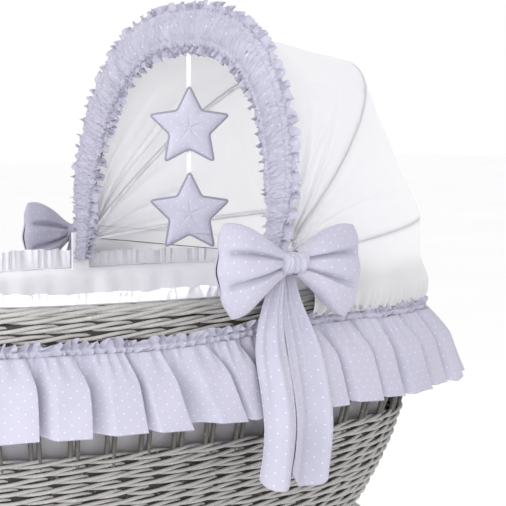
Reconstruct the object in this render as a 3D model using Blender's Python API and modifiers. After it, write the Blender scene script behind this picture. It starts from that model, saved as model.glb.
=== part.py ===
"""A hooded wicker bassinet on a wheeled wooden stand.

Metres, +Z up, +X towards the head end. The origin is on the floor under the middle of the bed.
"""

import math

import bmesh
import bpy
from mathutils import Matrix, Vector

# --- Driving dimensions -------------------------------------------------------------------------

# Basket: an oval (superellipse) plan that narrows towards its base.
RIM_LENGTH = 0.92
RIM_WIDTH = 0.52
RIM_HEIGHT = 0.78  # floor to the top of the woven border
PLAN_POWER = 2.5  # 2 is an ellipse, higher is squarer
PLAN_SEGMENTS = 36
BASKET_DEPTH = 0.36  # border top to the top of the base board
BASE_INSET = 0.102  # how far the wall comes in at its foot
WALL_CURVE = 2.4  # how late the wall turns in
WALL = 0.009
BORDER_RADIUS = 0.010
OPEN_BAND_TOP = 0.130  # depths below the border's top
OPEN_BAND_FOOT = 0.189
STAKE = 0.0064
STAKE_PAIRS = 46
STAKE_SPACING = 0.011  # between the middles of the two stakes of a pair
BINDING = 0.004  # height of the openwork's top and bottom edges
BASE_THICKNESS = 0.012
BASE_LIP = 0.004  # how far the base board stands out past the wall's foot
FIT = 0.0004  # gap between pieces that touch

# Bedding
MATTRESS_THICKNESS = 0.062
MATTRESS_SIDE_GAP = 0.006
MATTRESS_TAPER = 0.018
LINER = 0.008
LINER_GAP = 0.0185  # room behind the liner for the hood brackets
LINER_FOOT = 0.285  # depth of its lower edge
LINER_TOP = 0.002
FRILL = 0.003
FRILL_HEIGHT = 0.026

# Skirt round the outside
HEADING = 0.006
HEADING_TOP = 0.042  # depth
HEADING_HEIGHT = 0.020
HEADING_OUT = 0.009  # how far its outer face stands out past the border
SKIRT = 0.004
SKIRT_DROP = 0.093
SKIRT_FLARE = 0.046

# Hood: three wire hoops on one pivot axis
PIVOT_X = 0.072
PIVOT_RISE = 0.041  # above the border's top
HOOP_RADIUS = 0.0025
HOOP_PITCH = 0.0055  # from hoop to hoop along the pivot bolt
HOOP_POWER = 2.5
HOOP_POINTS = 21
FRONT_ANGLE, MIDDLE_ANGLE, REAR_ANGLE = 84.7, 45.5, 7.0  # degrees up from the head end
FRONT_SPREAD = 0.011  # how far the front hoop's legs bow outwards above the pivot
FRONT_REACH, MIDDLE_REACH = 0.315, 0.383
REAR_OVERHANG = 0.007  # how far the rear hoop reaches past the border at the head end
EYE_RADIUS = 0.008
RIVET_RADIUS = 0.003
RIVET_HOLE = 0.0034
RIVET_HEAD_RADIUS = 0.007
RIVET_HEAD = 0.0035
BRACKET = 0.003
BRACKET_WIDTH = 0.030
BRACKET_DROP = 0.070
BRACKET_PAD_GAP = 0.0020  # from the wall to the bracket
BRACKET_TOP = 0.014  # above the pivot axis
PANEL = 0.0025
PANEL_OFFSET = 0.0045  # outside the hoops' centre line
PANEL_START = 0.030  # distance from the pivot axis where the cloth begins
BAND_HALF_WIDTH = 0.030
BAND_FRONT, BAND_BACK = 0.0112, 0.0052  # its faces, from the front hoop's plane
BAND_SKIN = 0.0018
BAND_START = 0.045
BACK_BULGE = 0.012

# Bows at the hood's feet
NEAR_BOW_X, FAR_BOW_X = 0.032, 0.100
NEAR_BOW_RISE, FAR_BOW_RISE = 0.043, 0.052  # the knot's middle above the border's top
FAR_LOOP_TURN = 8  # degrees by which the far bow's foot-end loop turns in over the border
BOW_OUT = 0.040  # from the border's outer edge to the bow's middle
BOW_LOOP_LENGTH = 0.103
BOW_LOOP_HEIGHT = 0.118
BOW_THICKNESS = 0.030
KNOT_WIDTH, KNOT_HEIGHT, KNOT_DEPTH = 0.028, 0.026, 0.034
TAIL_WIDTH = 0.055
TAIL_SHIFT = 0.005  # how far the hanging tails lie towards the foot end
TAIL_THICKNESS = 0.004
TAIL_TOP = 0.015  # below the knot's middle
TAIL_FOOT = 0.250  # depth of the tails' lower ends

# Hanging stars
STAR_RADIUS = 0.056
STAR_WAIST = 0.50  # inner corners as a share of the star's radius
STAR_THICKNESS = 0.009
MOBILE_Y = -0.006
STAR_TURN = -36  # degrees about the vertical from facing the near side
RIBBON_WIDTH, RIBBON_THICKNESS = 0.007, 0.001
UPPER_RIBBON, LOWER_RIBBON = 0.052, 0.020  # the ribbon seen above each star

# Stand
CRADLE_RADIUS = 0.011
CRADLE_GAP = 0.002  # between the cradle ring and the basket's base board
SLAT_WIDTH, SLAT_HEIGHT = 0.034, 0.014
SLAT_X = 0.235
RAIL_WIDTH, RAIL_HEIGHT = 0.018, 0.024
RAIL_Y = 0.085
LEG_RADIUS = 0.014
LEG_TOP_Y = 0.128
LEG_TENON_RADIUS, LEG_TENON = 0.008, 0.011
FOOT_X, FOOT_Y = 0.330, 0.205
SHELF_BAR_RADIUS = 0.009
SHELF_BAR_HEIGHT = 0.170
TENON = 0.008
SHELF_LENGTH, SHELF_WIDTH = 0.660, 0.290
SHELF_WALL = 0.006
SHELF_WALL_HEIGHT = 0.055
SHELF_FLARE = 0.012

# Casters
WHEEL_RADIUS = 0.030
WHEEL_WIDTH = 0.018
TREAD = 0.007  # thickness of the wheel's outer band
AXLE_RADIUS = 0.003
RUNNING = 0.0003  # radial clearance of turning parts
TRAIL = 0.020  # swivel axis to axle
FORK = 0.002
FORK_HALF = 0.0125  # middle of each fork side
FORK_TOP = 0.067
SWIVEL_PIN_RADIUS = 0.003
STEM_RADIUS = 0.004
STEM_LENGTH = 0.036
FLANGE_RADIUS, FLANGE_HEIGHT = 0.014, 0.006
PEDAL_PIN_X, PEDAL_PIN_Z = 0.031, 0.0610
PEDAL_PIN_RADIUS = 0.0015
PEDAL_HALF_WIDTH = 0.0092
PEDAL_END = 0.064
SHOE_DROP = 0.0040  # the brake shoe's foot below the pedal's pin

# --- Derived sizes ------------------------------------------------------------------------------

HALF_LENGTH, HALF_WIDTH = RIM_LENGTH / 2, RIM_WIDTH / 2
REAR_REACH = HALF_LENGTH - PIVOT_X + REAR_OVERHANG
BASE_TOP = RIM_HEIGHT - BASKET_DEPTH
BASE_FOOT = BASE_TOP - BASE_THICKNESS
PIVOT = Vector((PIVOT_X, 0, RIM_HEIGHT + PIVOT_RISE))
LEG_FOOT = FORK_TOP + 0.0005 + FLANGE_HEIGHT + FIT
SLAT_TOP = BASE_FOOT - FIT
LEG_TOP = SLAT_TOP - SLAT_HEIGHT - FIT

MATERIALS = {
    "wicker": ((0.52, 0.50, 0.47), 0.65, 0.0),
    "painted_wood": ((0.60, 0.58, 0.55), 0.5, 0.0),
    "white_cotton": ((0.93, 0.93, 0.96), 0.9, 0.0),
    "dotted_cotton": ((0.72, 0.71, 0.82), 0.9, 0.0),
    "bedding": ((0.95, 0.95, 0.96), 0.9, 0.0),
    "steel": ((0.62, 0.62, 0.64), 0.35, 1.0),
    "grey_plastic": ((0.55, 0.55, 0.56), 0.45, 0.0),
    "tyre_rubber": ((0.20, 0.20, 0.21), 0.8, 0.0),
}


# --- Modelling helpers --------------------------------------------------------------------------


def start_scene():
    for o in list(bpy.data.objects):
        bpy.data.objects.remove(o)
    made = {}
    for name in ("bassinet_on_stand", "cutters"):
        made[name] = bpy.data.collections.new(name)
        bpy.context.scene.collection.children.link(made[name])
    return made


COLLECTIONS = start_scene()


def make_material(name):
    colour, roughness, metallic = MATERIALS[name]
    m = bpy.data.materials.new(name)
    m.use_nodes = True
    shader = m.node_tree.nodes["Principled BSDF"]
    shader.inputs["Base Color"].default_value = (*colour, 1)
    shader.inputs["Roughness"].default_value = roughness
    shader.inputs["Metallic"].default_value = metallic
    m.diffuse_color = (*colour, 1)
    return m


SLOTS = {name: make_material(name) for name in MATERIALS}


def empty(name, location, parent=None):
    o = bpy.data.objects.new(name, None)
    COLLECTIONS["bassinet_on_stand"].objects.link(o)
    o.location = location
    o.parent = parent
    return o


def part(name, mesh, slot, parent=None, location=(0, 0, 0), rotation=(0, 0, 0)):
    """A sub-part: one object with its own material."""
    o = bpy.data.objects.new(name, mesh)
    COLLECTIONS["bassinet_on_stand"].objects.link(o)
    o.location, o.rotation_euler, o.parent = location, rotation, parent
    if not mesh.materials:
        mesh.materials.append(SLOTS[slot])
    return o


def cutter(mesh, location=(0, 0, 0), rotation=(0, 0, 0)):
    """A shape that only cuts or joins others."""
    o = bpy.data.objects.new("cutter", mesh)
    COLLECTIONS["cutters"].objects.link(o)
    o.location, o.rotation_euler = location, rotation
    o.hide_render, o.display_type = True, "WIRE"
    return o


def mesh_of(bm, name="shape", smooth=True):
    bmesh.ops.recalc_face_normals(bm, faces=bm.faces)
    mesh = bpy.data.meshes.new(name)
    bm.to_mesh(mesh)
    bm.free()
    if smooth:
        mesh.shade_smooth()
        mesh.set_sharp_from_angle(angle=math.radians(40))
    return mesh


def loft(rings, around=True, smooth=True):
    """An open surface through rings of points; around closes each ring on itself."""
    bm = bmesh.new()
    rows = [[bm.verts.new(p) for p in ring] for ring in rings]
    count = len(rows[0])
    for low, high in zip(rows, rows[1:]):
        for i in range(count if around else count - 1):
            j = (i + 1) % count
            bm.faces.new((low[i], low[j], high[j], high[i]))
    return mesh_of(bm, smooth=smooth)


def thicken(o, thickness, offset):
    """Solidify; offset -1 adds the thickness on the inner side and 1 on the outer."""
    m = o.modifiers.new("thickness", "SOLIDIFY")
    m.thickness, m.offset, m.use_even_offset = thickness, offset, True
    return o


def combine(o, other, operation="DIFFERENCE"):
    m = o.modifiers.new(operation.lower(), "BOOLEAN")
    m.operation, m.object, m.solver = operation, other, "EXACT"
    return o


def united_mesh(meshes):
    """Overlapping shapes made one body."""
    o = cutter(meshes[0])
    for mesh in meshes[1:]:
        combine(o, cutter(mesh), "UNION")
    return baked(o)


def bevel(o, width, segments=2, angle=40):
    m = o.modifiers.new("rounded_edges", "BEVEL")
    m.width, m.segments, m.limit_method = width, segments, "ANGLE"
    m.angle_limit = math.radians(angle)
    return o


def baked(o, weld=1e-5):
    """The object's shape with its modifiers applied, as a mesh, and the object removed."""
    bpy.context.view_layer.update()
    graph = bpy.context.evaluated_depsgraph_get()
    mesh = bpy.data.meshes.new_from_object(o.evaluated_get(graph))
    bm = bmesh.new()
    bm.from_mesh(mesh)
    bmesh.ops.remove_doubles(bm, verts=bm.verts, dist=weld)
    bm.to_mesh(mesh)
    bm.free()
    mesh.transform(o.matrix_world)
    bpy.data.objects.remove(o)
    return mesh


def box_mesh(size, centre=(0, 0, 0)):
    bm = bmesh.new()
    bmesh.ops.create_cube(bm, size=1)
    bmesh.ops.scale(bm, vec=size, verts=bm.verts)
    bmesh.ops.translate(bm, vec=centre, verts=bm.verts)
    return mesh_of(bm, smooth=False)


AXES = {
    "X": Matrix.Rotation(math.pi / 2, 4, "Y"),
    "Y": Matrix.Rotation(-math.pi / 2, 4, "X"),
    "Z": Matrix(),
}


def rod_mesh(radius, start, end, axis="Z", segments=16):
    """A round rod along a world axis, between two places on that axis."""
    bm = bmesh.new()
    bmesh.ops.create_cone(
        bm, cap_ends=True, segments=segments, radius1=radius, radius2=radius, depth=end - start
    )
    bmesh.ops.translate(bm, vec=(0, 0, (start + end) / 2), verts=bm.verts)
    bmesh.ops.transform(bm, matrix=AXES[axis], verts=bm.verts)
    return mesh_of(bm)


def turned_mesh(profile, axis="Z", segments=20):
    """A body turned about an axis from (radius, height) points, outer side from top to bottom."""
    bm = bmesh.new()
    points = [bm.verts.new((r, 0, h)) for r, h in profile]
    closed = all(r > 1e-6 for r, _ in (profile[0], profile[-1]))
    pairs = list(zip(points, points[1:])) + ([(points[-1], points[0])] if closed else [])
    for a, b in pairs:
        bm.edges.new((a, b))
    mesh = bpy.data.meshes.new("profile")
    bm.to_mesh(mesh)
    bm.free()
    o = cutter(mesh)
    m = o.modifiers.new("turn", "SCREW")
    m.steps = m.render_steps = segments
    m.use_merge_vertices, m.merge_threshold = True, 1e-5
    mesh = baked(o)
    mesh.transform(AXES[axis])
    bm = bmesh.new()
    bm.from_mesh(mesh)
    return mesh_of(bm)


def wire_mesh(points, radius, cyclic=False, resolution=1):
    """A round wire through points."""
    curve = bpy.data.curves.new("wire", "CURVE")
    curve.dimensions = "3D"
    curve.bevel_depth, curve.bevel_resolution, curve.use_fill_caps = radius, resolution, True
    spline = curve.splines.new("POLY")
    spline.points.add(len(points) - 1)
    for p, at in zip(spline.points, points):
        p.co = (*at, 1)
    spline.use_cyclic_u = cyclic
    o = cutter(curve)
    return baked(o)


def outline_mesh(points, thickness):
    """A flat outline in the XZ plane with that thickness along Y."""
    curve = bpy.data.curves.new("outline", "CURVE")
    curve.dimensions, curve.fill_mode, curve.extrude = "2D", "BOTH", thickness / 2
    spline = curve.splines.new("POLY")
    spline.points.add(len(points) - 1)
    for p, (x, z) in zip(spline.points, points):
        p.co = (x, z, 0, 1)
    spline.use_cyclic_u = True
    o = cutter(curve, rotation=(math.pi / 2, 0, 0))
    mesh = baked(o)
    bm = bmesh.new()
    bm.from_mesh(mesh)
    bmesh.ops.dissolve_limit(bm, angle_limit=0.01, verts=bm.verts, edges=bm.edges)
    return mesh_of(bm, smooth=False)


def moved(mesh, matrix):
    copy = mesh.copy()
    copy.transform(matrix)
    return copy


def mirrored_y(mesh):
    copy = moved(mesh, Matrix.Scale(-1, 4, (0, 1, 0)))
    copy.flip_normals()
    return copy


# --- The basket's plan and wall -----------------------------------------------------------------


def signed_power(value, power):
    return math.copysign(abs(value) ** power, value)


def plan_point(turn, inset, depth, half_length=HALF_LENGTH, half_width=HALF_WIDTH, top=RIM_HEIGHT):
    """A point on the oval plan, drawn in by inset, at a depth below the border's top."""
    power = 2 / PLAN_POWER
    x = (half_length - inset) * signed_power(math.cos(turn), power)
    y = (half_width - inset) * signed_power(math.sin(turn), power)
    return Vector((x, y, top - depth))


def plan_ring(inset, depth, **sizes):
    return [
        plan_point(math.tau * i / PLAN_SEGMENTS, inset, depth, **sizes) for i in range(PLAN_SEGMENTS)
    ]


def wall_inset(depth):
    """How far the wall's outer face is inside the border's outer edge."""
    return BASE_INSET * max(depth, 0) ** WALL_CURVE / BASKET_DEPTH**WALL_CURVE


def wall_rings(start, end, count, extra=0.0):
    depths = [start + (end - start) * i / (count - 1) for i in range(count)]
    return [plan_ring(wall_inset(d) + extra, d) for d in reversed(depths)]


def filled_disc(inset, depth, thickness, taper=0.0, **sizes):
    """A flat oval slab whose top is at depth; taper draws its underside in."""
    bm = bmesh.new()
    top = [bm.verts.new(p) for p in plan_ring(inset, depth, **sizes)]
    foot = [bm.verts.new(p) for p in plan_ring(inset + taper, depth + thickness, **sizes)]
    for i in range(PLAN_SEGMENTS):
        j = (i + 1) % PLAN_SEGMENTS
        bm.faces.new((foot[i], foot[j], top[j], top[i]))
    bm.faces.new(top)
    bm.faces.new(list(reversed(foot)))
    return mesh_of(bm)


def level_shell(surface, thickness):
    """A surface thickened inwards, with no inner corner above the surface's level top."""
    top = max(v.co.z for v in surface.vertices)
    mesh = baked(thicken(cutter(surface), thickness, -1))
    for v in mesh.vertices:
        v.co.z = min(v.co.z, top)
    return mesh


def add_basket(root):
    upper_top = 2 * BORDER_RADIUS + FIT
    border = [
        plan_point(math.tau * i / PLAN_SEGMENTS, BORDER_RADIUS, BORDER_RADIUS)
        for i in range(PLAN_SEGMENTS)
    ]
    part("basket_border", wire_mesh(border, BORDER_RADIUS, cyclic=True), "wicker", root)
    upper = level_shell(loft(wall_rings(upper_top, OPEN_BAND_TOP, 3)), WALL)
    part("basket_upper_wall", upper, "wicker", root)
    lower = level_shell(loft(wall_rings(OPEN_BAND_FOOT, BASKET_DEPTH - FIT, 5)), WALL)
    part("basket_lower_wall", lower, "wicker", root)
    base = filled_disc(BASE_INSET - BASE_LIP, BASKET_DEPTH, BASE_THICKNESS)
    part("basket_base", base, "wicker", root)
    part("basket_openwork", level_shell(openwork_mesh(), STAKE), "wicker", root)


def plan_lengths(inset, depth, steps=720):
    """Distances along the plan at each small step round it, for even spacing."""
    points = [plan_point(math.tau * i / steps, inset, depth) for i in range(steps + 1)]
    lengths = [0.0]
    for a, b in zip(points, points[1:]):
        lengths.append(lengths[-1] + (b - a).length)
    return lengths


def turn_at(lengths, distance):
    """The plan's turn angle at a distance along it."""
    distance %= lengths[-1]
    i = next(k for k, value in enumerate(lengths) if value > distance) - 1
    share = (distance - lengths[i]) / (lengths[i + 1] - lengths[i])
    return math.tau * (i + share) / (len(lengths) - 1)


def openwork_mesh():
    """The open band: pairs of uprights between two thin edges, as a surface with windows."""
    top, foot = OPEN_BAND_TOP + FIT, OPEN_BAND_FOOT - FIT
    lengths = plan_lengths(0, 0)
    edges = [-0.5 * (STAKE_SPACING + STAKE), -0.5 * (STAKE_SPACING - STAKE)]
    edges += [-edges[1], -edges[0]]
    turns = []
    for pair in range(STAKE_PAIRS):
        middle = lengths[-1] * (pair + 0.5) / STAKE_PAIRS
        turns += [turn_at(lengths, middle + edge) for edge in edges]
    depths = [foot, foot - BINDING, top + BINDING, top]
    inset = (WALL - STAKE) / 2
    bm = bmesh.new()
    rows = [[bm.verts.new(plan_point(t, wall_inset(d) + inset, d)) for t in turns] for d in depths]
    for level, (low, high) in enumerate(zip(rows, rows[1:])):
        for i in range(len(turns)):
            j = (i + 1) % len(turns)
            if level != 1 or i % 4 in (0, 2):
                bm.faces.new((low[i], low[j], high[j], high[i]))
    return mesh_of(bm)


# --- Bedding and skirt --------------------------------------------------------------------------


def add_bedding(root):
    top = BASKET_DEPTH - FIT - MATTRESS_THICKNESS
    inset = BASE_INSET + WALL + MATTRESS_SIDE_GAP - MATTRESS_TAPER
    mattress = part(
        "mattress", filled_disc(inset, top, MATTRESS_THICKNESS, MATTRESS_TAPER), "bedding", root
    )
    bevel(mattress, 0.008, 1)
    rings = wall_rings(LINER_TOP, LINER_FOOT, 4, WALL + LINER_GAP)
    thicken(part("liner", loft(rings), "bedding", root), LINER, -1)
    inset = BORDER_RADIUS + FRILL / 2
    rings = [plan_ring(inset, -FIT - 0.0002), plan_ring(inset - 0.002, -FRILL_HEIGHT)]
    thicken(part("liner_frill", loft(rings), "bedding", root), FRILL, 0)


def add_skirt(root):
    foot = HEADING_TOP + HEADING_HEIGHT
    rings = [plan_ring(-HEADING_OUT, foot), plan_ring(-HEADING_OUT, HEADING_TOP)]
    thicken(part("skirt_heading", loft(rings), "dotted_cotton", root), HEADING, -1)
    start = foot + 0.002
    rings = []
    for share in (1.0, 0.5, 0.0):
        rings.append(plan_ring(-HEADING_OUT - SKIRT_FLARE * share, start + SKIRT_DROP * share))
    thicken(part("skirt", loft(rings), "dotted_cotton", root), SKIRT, -1)


# --- Hood ---------------------------------------------------------------------------------------

BRACKET_SHARE = (PIVOT_X + BRACKET_WIDTH / 2) / HALF_LENGTH
SIDE_LOSS = HALF_WIDTH * (1 - (1 - BRACKET_SHARE**PLAN_POWER) ** (1 / PLAN_POWER))  # narrowing there
BRACKET_OUTER = HALF_WIDTH - 2 * BORDER_RADIUS - SIDE_LOSS - 0.0009
BRACKET_INNER = BRACKET_OUTER - BRACKET
REAR_HALF = BRACKET_INNER - 0.0005 - HOOP_RADIUS
HOOPS = {
    "rear": (REAR_ANGLE, REAR_REACH, REAR_HALF),
    "middle": (MIDDLE_ANGLE, MIDDLE_REACH, REAR_HALF - HOOP_PITCH),
    "front": (FRONT_ANGLE, FRONT_REACH, REAR_HALF - 2 * HOOP_PITCH),
}


def hoop_start(reach, start):
    """The turn angle at which a hoop is that far from the pivot axis."""
    return math.asin((start / reach) ** (HOOP_POWER / 2))


def hoop_point(name, turn, grow=0.0, off=0.0):
    """A point on a hoop: grow moves it outwards in the hoop's plane, off across that plane."""
    angle, reach, half = HOOPS[name]
    power = 2 / HOOP_POWER
    radius = (reach + grow) * abs(math.sin(turn)) ** power
    spread = FRONT_SPREAD * min(1, max(0, radius - 0.02) / 0.06) if name == "front" else 0
    y = -(half + spread + grow) * signed_power(math.cos(turn), power)
    a = math.radians(angle)
    along, across = Vector((math.cos(a), 0, math.sin(a))), Vector((math.sin(a), 0, -math.cos(a)))
    return PIVOT + along * radius + across * off + Vector((0, y, 0))


def hoop_turns(first, count):
    return [first + (math.pi - 2 * first) * i / (count - 1) for i in range(count)]


def add_hoop(name, parent):
    """A wire hoop with an eye at each foot."""
    _, reach, half = HOOPS[name]
    first = hoop_start(reach, EYE_RADIUS - 0.002)
    points = [hoop_point(name, t) - PIVOT for t in hoop_turns(first, HOOP_POINTS)]
    hoop = part(f"hood_hoop_{name}", wire_mesh(points, HOOP_RADIUS), "steel", parent)
    eye = rod_mesh(EYE_RADIUS, -HOOP_RADIUS, HOOP_RADIUS, "Y", 16)
    hole = rod_mesh(RIVET_HOLE, -0.01, 0.01, "Y", 12)
    for side in (-1, 1):
        place = PIVOT + Vector((0, side * half, 0))
        combine(hoop, cutter(eye, place), "UNION")
        combine(hoop, cutter(hole, place))
    return hoop


def add_panel(name, front, rear, body):
    """Cloth stretched between two hoops."""
    rows, across = 5, 17
    first = max(hoop_start(HOOPS[h][1], PANEL_START) for h in (front, rear))
    if front == "front":
        first = hoop_start(FRONT_REACH, BAND_START)
    columns = []
    for turn in hoop_turns(first, across):
        a = hoop_point(front, turn, PANEL_OFFSET)
        b = hoop_point(rear, turn, PANEL_OFFSET)
        gap = (b - a).length
        clear = (0.0095 if front == "front" else 0.0010) / gap
        span = [clear + (1 - clear - 0.0010 / gap) * k / (rows - 1) for k in range(rows)]
        columns.append([a.lerp(b, share) - body.location for share in span])
    panel = part(name, loft(columns, around=False), "white_cotton", body)
    return thicken(panel, PANEL, 1)


def add_hood_back(root):
    """Cloth from the rear hoop down over the border to the skirt's heading."""
    across = 21
    foot_inset, foot_depth = -0.007, HEADING_TOP - 0.002
    first_top = hoop_start(REAR_REACH, PANEL_START)
    lengths = plan_lengths(foot_inset, 0)
    start = next(
        k for k in range(len(lengths) - 1, 0, -1)
        if plan_point(math.tau * k / (len(lengths) - 1), foot_inset, 0).x < PIVOT_X + PANEL_START
    )
    begin = lengths[start + 1] - lengths[-1]
    columns = []
    for i, turn in enumerate(hoop_turns(first_top, across)):
        share = i / (across - 1)
        around = turn_at(lengths, begin * (1 - 2 * share))
        top = hoop_point("rear", turn, PANEL_OFFSET, 0.0015)
        waist = plan_point(around, -0.004, -0.019)
        belly = plan_point(around, -BACK_BULGE, -0.002)
        foot = plan_point(around, foot_inset - PANEL, foot_depth)
        columns.append([top, waist, belly, foot])
    panel = part("hood_back", loft(columns, around=False), "white_cotton", root)
    return thicken(panel, PANEL, 1)


def add_ruched_band(body):
    """The gathered sleeve round the front hoop, an oval tube."""
    around, rows = 8, 19
    middle = (BAND_BACK - BAND_FRONT) / 2
    half_depth = (BAND_BACK + BAND_FRONT) / 2
    rings = []
    for turn in hoop_turns(hoop_start(FRONT_REACH, BAND_START), rows):
        ring = []
        for k in range(around):
            a = math.tau * k / around
            grow = (BAND_HALF_WIDTH - BAND_SKIN / 2) * math.cos(a)
            ring.append(hoop_point("front", turn, grow, middle + half_depth * math.sin(a)) - body.location)
        rings.append(ring)
    band = part("hood_ruched_band", loft(rings), "dotted_cotton", body)
    return thicken(band, BAND_SKIN, -1)


def rivet_mesh():
    """The far pivot rivet, along Y through the bracket and the three hoops' eyes."""
    outer = BRACKET_OUTER + FIT
    inner = REAR_HALF - 2 * HOOP_PITCH - HOOP_RADIUS - 0.0005
    profile = []
    for radius, y in (
        (0, outer + RIVET_HEAD),
        (RIVET_HEAD_RADIUS * 0.7, outer + RIVET_HEAD),
        (RIVET_HEAD_RADIUS, outer + RIVET_HEAD / 2),
        (RIVET_HEAD_RADIUS, outer),
        (RIVET_RADIUS, outer),
        (RIVET_RADIUS, inner),
        (RIVET_HEAD_RADIUS * 0.9, inner),
        (RIVET_HEAD_RADIUS * 0.6, inner - RIVET_HEAD * 0.7),
        (0, inner - RIVET_HEAD * 0.7),
    ):
        profile.append((radius, y))
    return turned_mesh(profile, "Y", 16)


def add_brackets(root):
    """The two plates inside the wall and the rivets that carry the hoops."""
    pad_outer = HALF_WIDTH - WALL - wall_inset(BRACKET_DROP) - SIDE_LOSS - BRACKET_PAD_GAP
    pad_top = -2 * BORDER_RADIUS - 0.008
    side = [
        (BRACKET_INNER, -BRACKET_DROP),
        (pad_outer, -BRACKET_DROP),
        (pad_outer, pad_top),
        (BRACKET_OUTER, pad_top),
        (BRACKET_OUTER, PIVOT_RISE + BRACKET_TOP),
        (BRACKET_INNER, PIVOT_RISE + BRACKET_TOP),
    ]
    outline = outline_mesh(side, BRACKET_WIDTH)
    outline.transform(Matrix.Rotation(math.pi / 2, 4, "Z"))
    outline.transform(Matrix.Translation((PIVOT_X, 0, RIM_HEIGHT)))
    plate = cutter(outline)
    combine(plate, cutter(rod_mesh(RIVET_HOLE, 0.20, 0.26, "Y", 12), (PIVOT.x, 0, PIVOT.z)))
    plate = baked(plate)
    rivet = rivet_mesh()
    place = (PIVOT.x, 0, PIVOT.z)
    part("hood_bracket_far", plate, "steel", root)
    part("hood_bracket_near", mirrored_y(plate), "steel", root)
    part("hood_rivet_far", rivet, "steel", root, place)
    part("hood_rivet_near", mirrored_y(rivet), "steel", root, place)


def add_hood(root):
    middle_body = empty("hood_middle_pivot", PIVOT, root)
    front_body = empty("hood_front_pivot", PIVOT, root)
    rear_body = empty("hood_rear_pivot", PIVOT, root)
    add_hoop("rear", rear_body)
    add_hoop("middle", middle_body)
    add_hoop("front", front_body)
    add_panel("hood_front_panel", "front", "middle", front_body)
    add_panel("hood_rear_panel", "middle", "rear", middle_body)
    add_hood_back(root)
    add_ruched_band(front_body)
    add_brackets(root)


# --- Bows and stars -----------------------------------------------------------------------------


def bow_loop_mesh(side):
    """One puffed loop, narrow at the knot."""
    inner, outer = KNOT_WIDTH / 2 - 0.005, KNOT_WIDTH / 2 + BOW_LOOP_LENGTH
    sections = [
        (inner, 0.020, 0.016),
        (inner + 0.4 * BOW_LOOP_LENGTH, BOW_LOOP_HEIGHT * 0.80, BOW_THICKNESS),
        (outer - 0.010, BOW_LOOP_HEIGHT, BOW_THICKNESS),
        (outer, BOW_LOOP_HEIGHT * 0.94, BOW_THICKNESS * 0.5),
    ]
    corners = 10
    bm = bmesh.new()
    rows = []
    for x, height, depth in sections:
        turns = [math.tau * k / corners for k in range(corners)]
        ring = [(side * x, depth / 2 * math.sin(t), height / 2 * math.cos(t)) for t in turns]
        rows.append([bm.verts.new(p) for p in ring])
    for low, high in zip(rows, rows[1:]):
        for i in range(corners):
            j = (i + 1) % corners
            bm.faces.new((low[i], low[j], high[j], high[i]))
    bm.faces.new(rows[0])
    bm.faces.new(rows[-1])
    return mesh_of(bm)


def bow_tail_mesh(lean, side, rise):
    """One tail, from behind the loops down over the skirt; lean is the side it hangs to."""
    rows = []
    for depth, out, width in (
        (TAIL_TOP - rise, -0.0185, 0.45),
        (0.030, -0.0165, 0.60),
        (0.090, -0.004, 0.85),
        (0.160, 0.022, 1.0),
        (TAIL_FOOT, 0.018, 1.0),
    ):
        hanging = depth > 0.05
        shift = -TAIL_SHIFT if hanging else 0
        inner = shift + lean * (0.0015 if hanging else -0.0015)
        outer = shift + lean * TAIL_WIDTH * width
        place = (side * out, -rise - depth)
        rows.append([(inner, *place), (outer, *place)])
    return baked(thicken(cutter(loft(rows, around=False)), TAIL_THICKNESS, 0))


def add_bow(name, x, side, rise, foot_loop_turn, root):
    """A bow on the near (-1) or far (1) side: loops and knot, and the tails under it."""
    body = empty(f"{name}_place", (x, side * (HALF_WIDTH + BOW_OUT), RIM_HEIGHT + rise), root)
    knot = box_mesh((KNOT_WIDTH, KNOT_DEPTH, KNOT_HEIGHT))
    knot = baked(bevel(cutter(knot), 0.006, 1))
    foot_loop = bow_loop_mesh(-1)
    foot_loop.transform(Matrix.Rotation(math.radians(side * foot_loop_turn), 4, "Z"))
    bow = united_mesh([knot, foot_loop, bow_loop_mesh(1)])
    tails = united_mesh([bow_tail_mesh(-1, side, rise), bow_tail_mesh(1, side, rise)])
    part(name, bow, "dotted_cotton", body)
    part(f"{name}_tails", tails, "dotted_cotton", body)


def star_outline():
    points = []
    for k in range(10):
        radius = STAR_RADIUS * (1 if k % 2 == 0 else STAR_WAIST)
        a = math.pi / 2 + k * math.pi / 5
        points.append((radius * math.cos(a), radius * math.sin(a)))
    return points


def add_mobile(root):
    """Two stars sewn on the front of one ribbon that hangs from the front hoop."""
    hang = hoop_point("front", math.pi / 2, -BAND_HALF_WIDTH - 0.0025, -0.003)
    hang.y = MOBILE_Y
    body = empty("mobile_pivot", hang, root)
    body.rotation_euler.z = math.radians(STAR_TURN)
    mesh = outline_mesh(star_outline(), STAR_THICKNESS)
    front = -(STAR_THICKNESS + RIBBON_THICKNESS) / 2 - FIT
    feet = STAR_RADIUS * math.cos(math.pi / 5)  # a star's middle to the line between its feet
    upper = -UPPER_RIBBON - STAR_RADIUS
    lower = upper - feet - LOWER_RIBBON - STAR_RADIUS
    part("upper_star", mesh, "dotted_cotton", body, (0, front, upper))
    part("lower_star", mesh, "dotted_cotton", body, (0, front, lower))
    strip = box_mesh((RIBBON_WIDTH, RIBBON_THICKNESS, -lower), (0, 0, lower / 2))
    part("mobile_ribbon", strip, "bedding", body)


# --- Stand --------------------------------------------------------------------------------------

CORNERS = {
    "head_far": (1, 1),
    "head_near": (1, -1),
    "foot_far": (-1, 1),
    "foot_near": (-1, -1),
}


def leg_centre(height):
    """The middle of the leg in the +X +Y corner at a height."""
    share = (LEG_TOP - height) / (LEG_TOP - LEG_FOOT)
    return Vector((SLAT_X, LEG_TOP_Y, LEG_TOP)).lerp(Vector((FOOT_X, FOOT_Y, LEG_FOOT)), share)


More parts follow.
